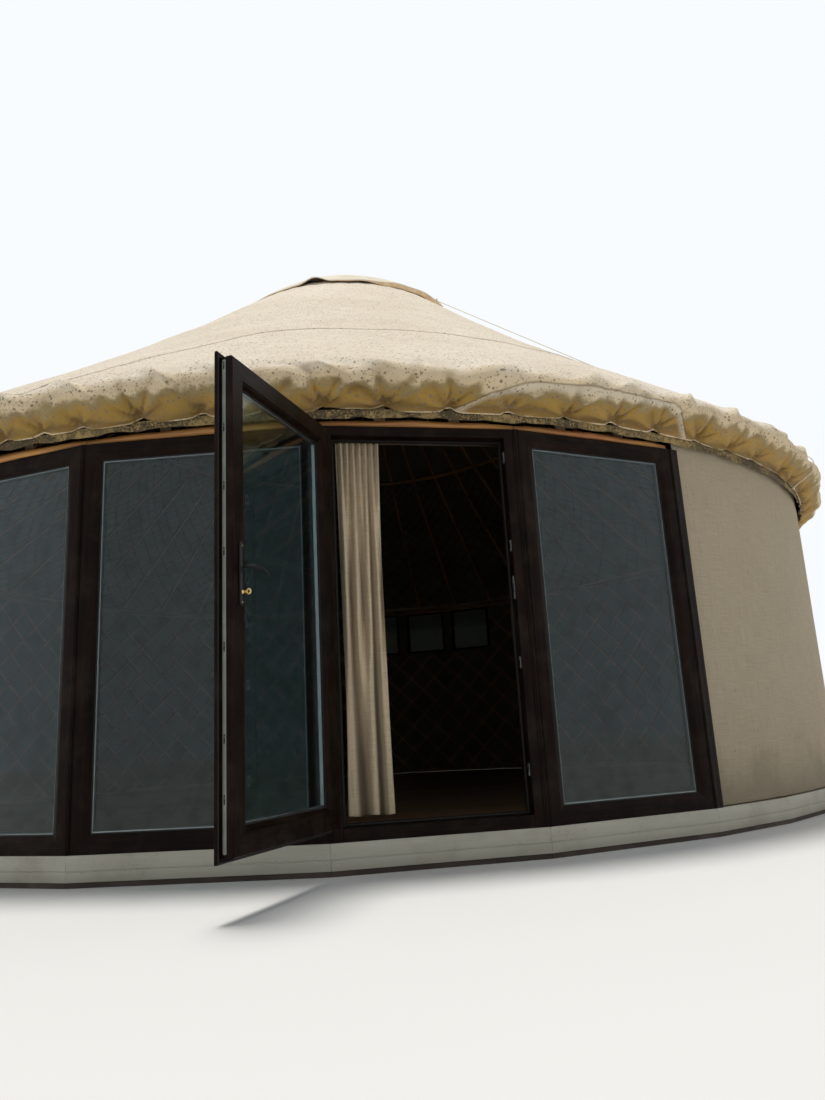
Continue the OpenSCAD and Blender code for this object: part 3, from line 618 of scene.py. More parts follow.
# Door frame: the same foil on a deeper section with a stop behind the leaf, mitred at the head and
# butted on a sill, with a rubber seal on the stop.
DOOR_L, DOOR_R = -0.513, 0.501
JAMB, STOP_W, STOP_D, SILL_H = 0.05, 0.018, 0.015, 0.06


def stop_section(face):
    """The section of a frame member with a step: a flat face, the rebate, and the stop behind the leaf."""
    stop, step = FRAME_D - STOP_D, face + STOP_W
    return np.array([[0, 0.0015], [0.0015, 0], [face - 0.0025, 0], [face, 0.0025], [face, stop - 0.0005],
                     [face + 0.0005, stop], [step - 0.002, stop], [step, stop + 0.002],
                     [step, FRAME_D - 0.003], [step - 0.003, FRAME_D], [0.0015, FRAME_D],
                     [0, FRAME_D - 0.0015]])


def seal_section(face):
    """A round-backed rubber lip that stands on the stop."""
    turn = np.linspace(0, np.pi, 6)
    return np.column_stack([face + STOP_W / 2 + 0.0042 * np.cos(turn),
                            FRAME_D - STOP_D - 0.0032 * np.sin(turn)])


def around_doorway(section_at, foot):
    """The doorway's jambs from a height up, its head and its sill, each with a section for its own face."""
    y = FRAME_FACE_Y
    sides = [((DOOR_L, y, foot), (DOOR_L, y, FRAME_TOP), (1, 0, 0), JAMB, (0, 1)),
             ((DOOR_R, y, foot), (DOOR_R, y, FRAME_TOP), (-1, 0, 0), JAMB, (0, 1)),
             ((DOOR_L, y, FRAME_TOP), (DOOR_R, y, FRAME_TOP), (0, 0, -1), JAMB, (1, 1)),
             ((DOOR_L + JAMB, y, DECK_TOP), (DOOR_R - JAMB, y, DECK_TOP), (0, 0, 1), SILL_H, (0, 0))]
    return [solid(on_side(door, member(a, b, inward, section_at(face), cuts)))
            for a, b, inward, face, cuts in sides]


door = FRONT[2]
piece("doorway_frame", around_doorway(stop_section, DECK_TOP), foil, "yurt", ["door_frame"],
      sharp=20)
parts = around_doorway(seal_section, DECK_TOP + SILL_H)
piece("doorway_seal", parts, rubber, "yurt", sharp=50)

# Strike plates: pressed zinc keeps with two countersunk screws each, let into the rebate of the
# latch side. The long one takes the bolt and the latch. The hinges opposite are enamelled brown.
REBATE_R, REBATE_B, REBATE_T = 0.451, 0.204, 2.115
HANDLE_Z = 1.253
STRIKES = [(REBATE_B + 0.209, 0.06), (HANDLE_Z - 0.32, 0.06), (HANDLE_Z + 0.06, 0.12),
           (HANDLE_Z + 0.28, 0.06), (REBATE_T - 0.103, 0.06)]
PLATE_Y0, PLATE_Y1 = 0.02, 0.042


def slab(outline, low, high, edge):
    """A flat plate with an outline, given in two coordinates, and a narrow bevel at both faces."""
    middle = outline.mean(axis=0)
    size = np.ptp(outline, axis=0)
    inner = middle + (outline - middle) * (1 - 2 * edge / size)
    rings = ((inner, low), (outline, low + edge), (outline, high - edge), (inner, high))
    return np.stack([np.column_stack([ring, np.full(len(ring), h)]) for ring, h in rings])


def edge_plate(x, y, z, way, plate):
    """A flat plate stood upright with its middle at y and z, and its thickness from x along or against
    X."""
    return np.stack([x + way * plate[..., 2], plate[..., 0] + y, plate[..., 1] + z], axis=-1)


def rounded(width, height, radius, steps=4):
    """A rectangle with round corners: a quarter circle about each corner's centre."""
    turn = np.linspace(0, np.pi / 2, steps + 1)
    arcs = []
    for k, (sx, sy) in enumerate(((1, 1), (-1, 1), (-1, -1), (1, -1))):
        a = turn + k * np.pi / 2
        arcs.append(np.column_stack([sx * (width / 2 - radius) + radius * np.cos(a),
                                     sy * (height / 2 - radius) + radius * np.sin(a)]))
    return np.concatenate(arcs)


parts, slots = [], []
along, out, up = side_vectors(door)
mid_y, plate_face = (PLATE_Y0 + PLATE_Y1) / 2, REBATE_R - 0.0026
for z, long in STRIKES:
    plate = slab(rounded(PLATE_Y1 - PLATE_Y0, long, 0.004), 0, 0.0022, 0.0005)
    parts.append(solid(on_side(door, edge_plate(REBATE_R - 0.0005, mid_y, z, -1, plate))))
    for end in (-1, 1):
        head = on_side(door, [plate_face, mid_y, z + end * (long / 2 - 0.009)])
        parts.append(dome(head, out, up, -along, 0.0042, 0.0008, 10, 2))
    hole = slab(rounded(0.011, long * 0.4, 0.003), 0, 0.0004, 0.0001)
    slots.append(solid(on_side(door, edge_plate(plate_face, mid_y, z, -1, hole))))
piece("strikers", parts, zinc, "yurt", ["strike_plates"], sharp=30)
piece("striker_slots", slots, rubber, "yurt", sharp=30)

enamel = drifting("brown_enamel", 40.0, (0.03, 0.016, 0.011, 1), (0.06, 0.033, 0.022, 1), 0.36,
                  Coat_Weight=0.2)
refinish("frame_hinges", enamel, 0.001)


# Lintel: one debarked pole over each glazed side, bent to the circle, with knots along it. It is
# lashed down, and its grain runs round with it.
LINTEL_R, LINTEL_D = 4.22569, 0.044
POLE_PALE = (0.56, 0.27, 0.065, 1)
POLE_DARK = (0.26, 0.1, 0.025, 1)

peeled, shader, uv, place = finish("peeled_pole", 0.55, Coat_Weight=0.08)
figure = use(grain, Vector=uv, Fineness=1.3)
blush = noise(place, 2.6, 3.0)
warm = mixed(eased(figure["Bands"], 0.3, 0.7), POLE_DARK, POLE_PALE)
redder = mixed(eased(blush, 0.45, 0.75, 0.0, 0.6), warm, (0.3, 0.085, 0.03, 1))
coat(shader, redder, plus(figure["Lines"], figure["Bands"]), 0.0012)


def swell(points, size, seed, count=7):
    """Smooth random waves in space, about -1 to 1: the mean of sines in random directions whose wavelengths
    lie around a size."""
    rng = np.random.default_rng(seed)
    way = rng.normal(size=(count, 3))
    way *= (2 * np.pi / (size * rng.uniform(0.7, 1.5, count)) / np.linalg.norm(way, axis=1))[:, None]
    return np.sin(points @ way.T + rng.uniform(0, 6.283, count)).sum(axis=-1) * np.sqrt(2 / count) * 0.6


def square_to(path, up=(0, 0, 1.0)):
    """Two directions square to a path: its tangent crossed with up, and that crossed with the tangent."""
    tangent = np.gradient(path, axis=0)
    tangent /= np.linalg.norm(tangent, axis=1, keepdims=True)
    across = np.cross(tangent, up)
    across /= np.linalg.norm(across, axis=1, keepdims=True)
    return across, np.cross(across, tangent)


def carried(path, u, v, axis_u, axis_v):
    """A section carried along a path: at each point, u times the first direction and v times the second.
    All four may change from point to point."""
    axis_u, axis_v = (np.broadcast_to(axis, path.shape)[:, None] for axis in (axis_u, axis_v))
    return path[:, None] + u[..., None] * axis_u + v[..., None] * axis_v


def pole_along(path, radius, sides, seed, wobble=0.06):
    """A round stick along a path: a circle square to the path, whose radius swells and thins a little."""
    across, out = square_to(path)
    turn = turns(sides)
    ring = np.cos(turn)[None, :, None] * across[:, None] + np.sin(turn)[None, :, None] * out[:, None]
    swelling = 1 + wobble * swell(path[:, None] + 0.3 * ring, 0.16, seed)
    reach = np.broadcast_to(radius, len(path))[:, None] * swelling
    return path[:, None] + ring * reach[..., None]


parts = []
for k, ends in enumerate(FRONT):
    angle = np.linspace(ends[0] + 0.03, ends[1] - 0.03, 60)
    bend = 0.0015 * np.sin(np.radians(angle) * 70 + k)
    radius = LINTEL_D / 2 * (0.93 + 0.05 * np.cos(np.linspace(0, 9, 60) + k)) - 0.0005
    path = around(angle, LINTEL_R + bend, FRAME_TOP + 0.0215 + bend)
    parts.append(solid(pole_along(path, radius, 14, k)))
piece("lintel_sticks", parts, peeled, "yurt", ["lintel_poles"], sharp=60)
refinish("front_struts", sawn, 0.002)


# Walls inside: flat laths cross at 45 degrees in two layers, with a rawhide knot at each crossing,
# and a rail along the foot and the head. They stop at the posts and beside the back windows.
LATH_OUT, LATH_IN = 4.2117, 4.1997
LATH_W, LATH_T = 0.032, 0.0115
LATH_PITCH = 0.344352
LATH_TOP = 2.4725
BACK_FIRST, BACK_COUNT = 13, 3
BACK_W, BACK_H, BACK_TOP = 0.56, 0.595, 2.45
LATH_PALE = (0.36, 0.185, 0.085, 1)
LATH_DARK = (0.17, 0.075, 0.032, 1)

split_wood, shader, uv, place = finish("split_lath", 0.62)
figure = use(grain, Vector=uv, Fineness=1.6)
coat(shader, mixed(eased(figure["Bands"], 0.3, 0.72), LATH_DARK, LATH_PALE), figure["Lines"], 0.0008)

post_turn = np.degrees((END_POST_W + 0.004) / PLAN_R)
WALL_FROM, WALL_TO = RIGHT_END + post_turn, 360 + LEFT_END - post_turn
BACK_MIDDLES = [RIGHT_END + (k + 0.5) * WALL_STEP for k in range(BACK_FIRST, BACK_FIRST + BACK_COUNT)]
lath_section = np.array([[-0.5, -0.3], [-0.4, -0.5], [0.4, -0.5], [0.5, -0.3], [0.5, 0.3], [0.4, 0.5],
                         [-0.4, 0.5], [-0.5, 0.3]])


def lath_pieces(start, way):
    """The stretches of one lath, as heights, that lie on the wall and miss the windows."""
    rise = np.linspace(DECK_TOP + 0.004, LATH_TOP, 240)
    angle = start + way * np.degrees((rise - DECK_TOP) / LATH_OUT)
    free = (angle > WALL_FROM + 0.35) & (angle < WALL_TO - 0.35)
    for middle in BACK_MIDDLES:
        near = np.abs(angle - middle) < np.degrees((BACK_W / 2 + 0.028) / LATH_OUT)
        free &= ~(near & (rise > BACK_TOP - BACK_H - 0.03))
    runs = np.flatnonzero(np.diff(np.r_[0, free.astype(int), 0]))
    return [(rise[a], rise[b - 1]) for a, b in zip(runs[::2], runs[1::2]) if rise[b - 1] - rise[a] > 0.06]


parts, first_layer, second_layer = [], [], []
lath_turn = np.degrees(LATH_PITCH / LATH_OUT)
over = np.degrees((LATH_TOP - DECK_TOP) / LATH_OUT)
for way, radius, layer in ((1, LATH_OUT, first_layer), (-1, LATH_IN, second_layer)):
    for start in np.arange(WALL_FROM - over * (way > 0) + 1.4, WALL_TO + over * (way < 0), lath_turn):
        layer.append(start)
        for low, high in lath_pieces(start, way):
            rise = np.linspace(low, high, 12)
            angle = np.radians(start + way * np.degrees((rise - DECK_TOP) / LATH_OUT))[:, None]
            sideways = np.hstack([np.cos(angle), np.sin(angle), 0 * angle - way]) / np.sqrt(2)
            outward = np.hstack([np.sin(angle), -np.cos(angle), 0 * angle])
            section = lath_section * [LATH_W, LATH_T]
            path = around(np.degrees(angle[:, 0]), radius, rise)
            parts.append(solid(carried(path, *section.T, sideways, outward)))
for z in (DECK_TOP + 0.017, LATH_TOP - 0.017):
    angle = np.linspace(WALL_FROM + 0.4, WALL_TO - 0.4, 180)
    path, outward = around(angle, LATH_IN - LATH_T - 0.0005, z), around(angle, 1.0, 0.0)
    section = lath_section[:, ::-1] * [LATH_T * 0.8, LATH_W]
    parts.append(solid(carried(path, *section.T, outward, UP)))
piece("lath_net", parts, split_wood, "yurt", [f"wall_lattice_{k}" for k in range(1, 5)], sharp=30)

hide = drifting("rawhide", 50.0, (0.16, 0.09, 0.045, 1), (0.34, 0.22, 0.12, 1), 0.6)
knots = []
for a in first_layer:
    for b in second_layer:
        rise = LATH_OUT * np.radians(b - a) / 2
        angle, z = (a + b) / 2, DECK_TOP + rise
        behind = any(abs(angle - m) < 4.2 and z > BACK_TOP - BACK_H - 0.05 for m in BACK_MIDDLES)
        in_height = 0.05 < rise < LATH_TOP - DECK_TOP - 0.05
        if in_height and WALL_FROM + 0.6 < angle < WALL_TO - 0.6 and not behind:
            out = around(angle, 1.0, 0.0)
            middle = around(angle, LATH_IN - LATH_T / 2 + 0.001, z)
            knots.append(dome(middle, np.cross(out, UP), UP, -out, 0.009, 0.007, 6, 2))
piece("lath_knots", knots, hide, "yurt", sharp=70)

# Eave ring: steamed timber bent round the heads of the laths, which the roof poles stand on. Its
# grain runs round with it.
bentwood, shader, uv, place = finish("bent_ring_timber", 0.6)
spot = split(place)
turned = times(math("ARCTAN2", spot[1], spot[0]), 4.0)
radial = math("SQRT", plus(times(spot[0], spot[0]), times(spot[1], spot[1])))
wound = add(shader.id_data, "CombineXYZ", X=turned, Y=radial, Z=spot[2]).outputs[0]
figure = use(grain, Vector=wound, Fineness=1.2)
coat(shader, mixed(eased(figure["Bands"], 0.3, 0.7), LATH_DARK, (0.42, 0.22, 0.1, 1)), figure["Lines"], 0.001)
refinish("eave_ring", bentwood, 0.004)


# Wall canvas: one long cloth outside the laths, seamed from upright widths, with a rope hem on the
# plinth. It is drawn tight at the posts, cut out at the back windows, and puckers a little at the seams.
# Its inside face is painted dark, as painted shade of the tent's inside.
WALL_R, WALL_TOP = 4.2465, 2.46
CLOTH_WIDTHS = 16
SEAM_W = 0.03
WALL_CREAM = (0.56, 0.475, 0.34, 1)
WALL_TAN = (0.43, 0.345, 0.225, 1)
WALL_INSIDE_SHADE = (0.13, 0.1, 0.065, 1)
MOULD = (0.1, 0.078, 0.048, 1)

# Weave: two crossed sets of threads, and the slubs that show among them.
weave, w_in, w_out = effect("weave", {"Vector": ("Vector", None), "Threads": ("Float", 500.0)},
                            {"Height": "Float", "Slubs": "Float"})
spot = split(w_in["Vector"])
count = times(w_in["Threads"], 6.2832)
warp = math("SINE", times(spot[0], count))
weft = math("SINE", times(spot[1], count))
weave.links.new(times(warp, weft), w_out["Height"])
threads_u = noise(stretched(w_in["Vector"], (6.0, 300.0, 1.0)), 1.0, 2.0)
threads_v = noise(stretched(w_in["Vector"], (300.0, 6.0, 1.0)), 1.0, 2.0)
weave.links.new(times(plus(threads_u, threads_v), 0.5), w_out["Slubs"])

# Mildew: round dots, one in some of the cells of a random pattern, each with its own size. There are
# more where the amount is higher and where a broad noise is high.
mildew, m_in, m_out = effect("mildew", {"Vector": ("Vector", None), "Spacing": ("Float", 0.03),
                                        "Amount": ("Float", 0.5)}, {"Dots": "Float"})
m_scale = math("DIVIDE", 1.0, m_in["Spacing"])
cells = add(mildew, "TexVoronoi", Vector=m_in["Vector"], Scale=m_scale).outputs
chance = add(mildew, "SeparateColor", Color=cells["Color"]).outputs
crowd = eased(noise(m_in["Vector"], times(m_scale, 0.06), 3.0), 0.32, 0.68, 0.35, 1.25)
chosen = eased(times(m_in["Amount"], crowd), 0.0, 1.0)
present = math("GREATER_THAN", chosen, chance[0])
size = plus(times(chance[1], 0.2), 0.13)
shape = eased(math("SUBTRACT", cells["Distance"], size), 0.05, -0.04)
mildew.links.new(times(shape, present), m_out["Dots"])

wall_cloth, shader, uv, place = finish("weathered_wall_canvas", 0.9, Sheen_Weight=0.1)
threads = use(weave, Vector=uv, Threads=450.0)
grime = use(dirt, Vector=place, Speck=0.016, Amount=0.3)
height = split(place)[2]
splash = eased(plus(height, times(grime["Blotches"], -0.15)), 0.45, 0.12, 0.0, 0.65)
base = mixed(eased(threads["Slubs"], 0.35, 0.65), WALL_TAN, WALL_CREAM)
clouded = mixed(times(grime["Blotches"], 0.35), base, WALL_TAN)
spotted = mixed(times(grime["Specks"], 0.6), clouded, MOULD)
# The inside face is painted shade, dark as the shaded inside of the tent.
inside = add(shader.id_data, "NewGeometry").outputs["Backfacing"]
splashed = mixed(splash, spotted, (0.27, 0.215, 0.135, 1))
coat(shader, mixed(inside, splashed, WALL_INSIDE_SHADE), threads["Height"], 0.0006)

angle = np.linspace(WALL_FROM - 0.2, WALL_TO + 0.2, 1200)
z = np.unique(np.r_[np.linspace(DECK_TOP + 0.006, WALL_TOP, 30), DECK_TOP + 0.05, DECK_TOP + 0.09,
                    BACK_TOP - BACK_H + 0.012, BACK_TOP - 0.012])
A, Z = np.meshgrid(angle, z)
base = around(A, WALL_R, Z)
width_turn = (WALL_TO - WALL_FROM) / CLOTH_WIDTHS
from_seam = np.abs((A - WALL_FROM + width_turn / 2) % width_turn - width_turn / 2) * np.pi / 180 * WALL_R
raised = 0.0016 * (from_seam < SEAM_W / 2)
tight = np.clip(np.minimum(A - WALL_FROM, WALL_TO - A) / 2.0, 0, 1)
along_wall = np.radians(A) * WALL_R
sway = swell(np.stack([along_wall, 0.25 * Z, 0 * Z], axis=-1), 0.42, 3)
drape = 0.0035 * sway * (0.4 + 0.6 * (Z - DECK_TOP) / 2.3)
pucker = 0.0016 * np.sin(Z * 42 + 3 * np.sin(A)) * np.exp(-from_seam / 0.05)
foot = 0.003 * np.exp(-(Z - DECK_TOP) / 0.05) * swell(np.stack([along_wall, 0 * Z, 0 * Z], axis=-1), 0.12, 5)
reach = WALL_R + raised + (drape + pucker + foot) * tight - 0.002
flat_side = PLAN_R - 0.03
middle = (A - RIGHT_END) % WALL_STEP - WALL_STEP / 2
chord = flat_side * np.cos(np.radians(WALL_STEP / 2)) / np.cos(np.radians(middle))
grid = around(A, np.minimum(reach, chord + 0.012 + raised), Z)
parts = patch(grid, uv=np.stack([along_wall, Z], axis=-1))
row, col = (x.ravel() for x in np.meshgrid(np.arange(len(z) - 1), np.arange(len(angle) - 1), indexing="ij"))
hidden = np.zeros(len(row), bool)
for m in BACK_MIDDLES:
    span = np.degrees((BACK_W / 2 - 0.002) / WALL_R)
    hidden |= ((angle[col] > m - span) & (angle[col + 1] < m + span) & (z[row] > BACK_TOP - BACK_H + 0.005)
               & (z[row + 1] < BACK_TOP - 0.005))
wall_sheet = piece("wall_cloth", [(parts[0], parts[1][~hidden], parts[2][~hidden], [])], wall_cloth, "yurt",
                   [f"wall_canvas_{k}" for k in range(1, 5)], sheet=True, sharp=60)


# Back windows: three small fixed lights high in the wall, with mitred frames under the same foil and
# single frosted panes in thin rubber seals. The panes' dim grey-green is painted: it stands in for the
# shaded greenery seen through them.
BACK_FACE = 0.03
BACK_Y = 0.0249

frosted, shader, uv, place = finish("frosted_pane", 0.6, IOR=1.45, Transmission_Weight=0.12,
                                    Specular_IOR_Level=0.15)
# Painted view: a dim grey-green that stands in for shaded greenery seen through the panes.
painted_view_tone = noise(place, 7.0, 3.0)
coat(shader, mixed(painted_view_tone, (0.17, 0.18, 0.135, 1), (0.25, 0.26, 0.2, 1)), noise(place, 260.0), 0.0004)
parts, panes, seals = [], [], []
light_section = np.array([[0, 0.001], [0.001, 0], [BACK_FACE - 0.012, 0], [BACK_FACE - 0.002, 0.009],
                          [BACK_FACE, 0.0125], [BACK_FACE, 0.0195], [BACK_FACE - 0.002, 0.024],
                          [BACK_FACE - 0.01, 0.047], [BACK_FACE - 0.012, 0.049], [0.001, 0.049],
                          [0, 0.048]])
rim = np.array([[-0.0005, 0], [0.004, 0], [0.0045, 0.002], [-0.0005, 0.002]])
for k in range(BACK_FIRST, BACK_FIRST + BACK_COUNT):
    x0, x1, z0, z1 = -BACK_W / 2, BACK_W / 2, BACK_TOP - BACK_H, BACK_TOP
    here = partial(on_side, WALL[k])
    parts += solids_on(here, frame_of(x0, x1, BACK_Y, z0, z1, light_section))
    inset = BACK_FACE + 0.0004
    pane = block(x0 + inset, x1 - inset, BACK_Y + 0.013, BACK_Y + 0.019, z0 + inset, z1 - inset)
    panes.append(solid(here(pane)))
    seals += solids_on(here, frame_of(x0 + BACK_FACE, x1 - BACK_FACE, BACK_Y + 0.0107, z0 + BACK_FACE,
                                      z1 - BACK_FACE, rim))
piece("back_light_frames", parts, foil, "yurt", ["back_window_frames"], sharp=20)
piece("back_light_panes", panes, frosted, "yurt", ["back_window_glass"], sharp=20)
piece("back_light_seals", seals, rubber, "yurt", sharp=20)


# Roof poles: peeled and oiled, from the eave ring to sockets in the crown. They taper towards the
# crown, and each is a little bowed and has sagged under the cloth.
POLE_COUNT = 48
SLOPE = np.radians(36.75)
EAVE_C = np.array([4.38, 2.379])
EAVE_R = 0.075
ROOF_T = 0.014
HEM = np.array([4.3, 2.238])
HOLE_R = 1.05
CROWN_LEAN = 0.15
CROWN_R = 0.98
REST_Z = 2.5436
SAG, SAG_FROM = 0.06, 4.402
POLE_R, POLE_TAPER = 0.0188, 0.003
ROOF_TOP = 4.9592
SQUARE = np.array([np.sin(SLOPE), np.cos(SLOPE)])


def slope_z(radius, off):
    """Height of a line parallel to the roof's slope, that far outside the eave's centre."""
    return EAVE_C[1] + (off - (radius - EAVE_C[0]) * SQUARE[0]) / SQUARE[1]


def lean(z):
    """How far the roof stands towards +X at a height: nothing on the eave ring, all of it at the crown."""
    return CROWN_LEAN * (z - REST_Z) / (ROOF_TOP - REST_Z)


def on_roof(angle, radius, z):
    """Points around the roof's leaning axis."""
    return around(angle, radius, z) + np.stack(np.broadcast_arrays(lean(z), 0.0, 0.0), axis=-1)


def sag(radius):
    """How far the poles and the cloth on them have bent inwards under their weight: the sine of the way
    up the slope to a power of 1.4, which is nothing at the eave and at the crown."""
    way_up = np.clip((SAG_FROM - radius) / (SAG_FROM - CROWN_R), 0, 1)
    return SAG * np.sin(np.pi * way_up) ** 1.4


parts = []
pole_off = EAVE_R - ROOF_T - 0.0195
step = np.linspace(0, 1, 15)
for k in range(POLE_COUNT):
    radius = SAG_FROM - step * (SAG_FROM - CROWN_R - 0.002)
    bow = -0.0012 * np.sin(np.pi * step) * (1 + np.sin(k * 2.4))
    path = on_roof(k * 360 / POLE_COUNT, radius, slope_z(radius, pole_off + bow - sag(radius)))
    thick = POLE_R - POLE_TAPER * step - 0.004 * (step == 0)
    parts.append(solid(pole_along(path, thick, 10, k, 0.02)))
piece("rafter_poles", parts, peeled, "yurt",
      ["roof_poles_front", "roof_poles_right", "roof_poles_back", "roof_poles_left"], sharp=60)

# Roof net: thin split sticks crossed over the poles under the cloth, from the eave up to a bent hoop
# that is lashed below the poles. The sticks are darkened by smoke, and the hoop is peeled like the poles.
NET_COUNT, NET_TOP_R, NET_BOTTOM_R = 116, 2.3, 4.35
STICK_W, STICK_T = 0.013, 0.004
HOOP_R, HOOP_D = 2.25, 0.045

sooted, shader, uv, place = finish("sooted_stick", 0.75, Specular_IOR_Level=0.3)
figure = use(grain, Vector=uv, Fineness=1.6)
coat(shader, mixed(figure["Bands"], (0.05, 0.026, 0.014, 1), (0.13, 0.07, 0.036, 1)), figure["Lines"], 0.0006)
parts = []
net_off = EAVE_R - ROOF_T - 0.006
stick_section = np.array([[-0.5, -0.5], [0.5, -0.5], [0.5, 0.5], [-0.5, 0.5]]) * [STICK_W, STICK_T]
for way in (-1, 1):
    for k in range(NET_COUNT):
        radius = np.linspace(NET_BOTTOM_R, NET_TOP_R, 14)
        start = (k + 0.18 * np.sin(k * 5.1 + way)) * 360 / NET_COUNT
        angle = start + way * np.degrees(np.log(NET_BOTTOM_R / radius)) * 1.15
        path = on_roof(angle, radius, slope_z(radius, net_off + 0.002 * way - sag(radius)))
        tangent = np.gradient(path, axis=0)
        tangent /= np.linalg.norm(tangent, axis=1, keepdims=True)
        outward = around(angle, SQUARE[0], SQUARE[1])
        across = np.cross(outward, tangent)
        parts.append(solid(carried(path, *stick_section.T, across, outward)))
piece("roof_net", parts, sooted, "yurt", sharp=30)
angle = np.linspace(0, 360, 181)[:-1]
hoop_off = pole_off - POLE_R - HOOP_D / 2
path = on_roof(angle, HOOP_R, slope_z(HOOP_R, hoop_off - sag(HOOP_R)))
turn = turns(12)
thick = HOOP_D / 2 * (0.94 + 0.05 * np.sin(np.radians(angle) * 9))
grid = carried(path, thick[:, None] * np.cos(turn), thick[:, None] * np.sin(turn), around(angle, 1.0, 0.0),
               UP)
piece("roof_hoop", [patch(np.concatenate([grid, grid[:1]]), ring=True)], peeled, "yurt",
      sharp=60)

# Crown: a ring bent from thick timber, mortised for the poles' ends, and bars bent over it that carry
# the cover.
crownwood, shader, uv, place = finish("crown_timber", 0.55)
figure = use(grain, Vector=place, Fineness=0.8)
coat(shader, mixed(eased(figure["Bands"], 0.3, 0.7), LATH_DARK, (0.4, 0.19, 0.08, 1)), figure["Lines"], 0.001)
refinish("crown_ring", crownwood, 0.006)
refinish("crown_bars", crownwood, 0.003)


# Roof cloth: heavy canvas cut as a cone and drawn over the round eave. A cord in the hem ties it in
# under the eave, so it swags between the ties and folds fan up from them. The upper cloth laps over
# the lower one along a felled seam, and mildew specks it all over. Its underside is ochre with real
# staining, and the same ochre, its ragged edge and its darker parts are also painted shade where the
# eave turns under. Painted shade also lies in the folds' valleys, painted shadow under the lap and flap
# edges, painted highlight on the bulges below the flap, and painted shade on the inside face.
TUCK, TURN = np.radians([-57.1269, 110.377])
CREAM = (0.86, 0.775, 0.645, 1)
CREAM_SHADE = (0.75, 0.66, 0.52, 1)
# Ochre, dark ochre and greyed: the underside's staining and its painted shade together.
OCHRE = (0.42, 0.25, 0.045, 1)
OCHRE_DARK_SHADED = (0.15, 0.08, 0.016, 1)
GREYED = (0.34, 0.255, 0.115, 1)
# Painted shade: the inside face, dark as the shaded inside of the tent.
INSIDE_SHADE = (0.15, 0.115, 0.075, 1)
MILDEW = (0.24, 0.185, 0.13, 1)
FRONT_TIES = [-52.0, -47.3, -43.1, -39.4, -35.9, -32.6, -29.6, -26.4, -23.3, -18.9, -14.6, -10.3, -6.5,
              -2.4, 2.2, 6.6, 11.2, 15.4, 19.6, 24.5, 29.0]
TIE_STEP = 4.7
SEAM_HIGH, SEAM_LOW = 1.78, 0.24
SEAM_LAP, CROWN_SEAM = 0.03, 4.16
CLOTH_R, CUT_R = 4.4, 4.43
FLAP_FROM, FLAP_TO, FLAP_S = 4.0, 20.0, 0.208

rng = np.random.default_rng(8)
back_count = int((360 - 81) / TIE_STEP)
back_ties = np.linspace(29.0, 308.0, back_count + 1)[1:-1] + rng.uniform(-1.0, 1.0, back_count - 1)
TIES = np.sort(np.r_[FRONT_TIES, back_ties] % 360)
UNDER = np.sqrt(np.sum((HEM - EAVE_C) ** 2) - EAVE_R ** 2)
ARC = EAVE_R * TURN


def bearing_of(angle):
    """An angle brought to between -180 and 180 degrees."""
    return (angle + 180) % 360 - 180


def roof_line(s):
    """The roof's outline at a distance from the hem, as radius, height and outward direction: a straight
    underside to the round eave, the arc round it, and the slope, which sags."""
    turn = TUCK + np.clip(s - UNDER, 0, ARC) / EAVE_R
    out = np.stack([np.cos(turn), np.sin(turn)], axis=-1)
    on_arc = EAVE_C + EAVE_R * out
    start = EAVE_C + EAVE_R * np.array([np.cos(TUCK), np.sin(TUCK)])
    under = start + (HEM - start) * (np.clip(UNDER - s, 0, None) / UNDER)[..., None]
    up_slope = np.array([-SQUARE[1], SQUARE[0]])
    above = np.clip(s - UNDER - ARC, 0, None)[..., None] * up_slope
    place = np.where((s < UNDER)[..., None], under, on_arc + above)
    return place - sag(place[..., 0])[..., None] * SQUARE * (s > UNDER + ARC)[..., None], out


def smooth(share):
    """From 0 to 1 with level ends: 3 t squared less 2 t cubed."""
    share = np.clip(share, 0, 1)
    return share ** 2 * (3 - 2 * share)


def seam_at(angle):
    """Distance of the lap seam from the hem: high on the slope round most of the roof, and down on the
    round eave towards the left of the doorway."""
    bearing = bearing_of(angle)
    high = smooth((bearing + 30) / 18) + smooth((-62 - bearing) / 30)
    wander = 0.03 * np.sin(np.radians(bearing) * 5 + 0.6) * high
    return SEAM_LOW + (SEAM_HIGH - SEAM_LOW - 0.05) * high + wander


def distance_at(radius):
    """Distance from the hem at which the slope has a radius."""
    return UNDER + ARC + (EAVE_C[0] + EAVE_R * SQUARE[0] - radius) / SQUARE[1]


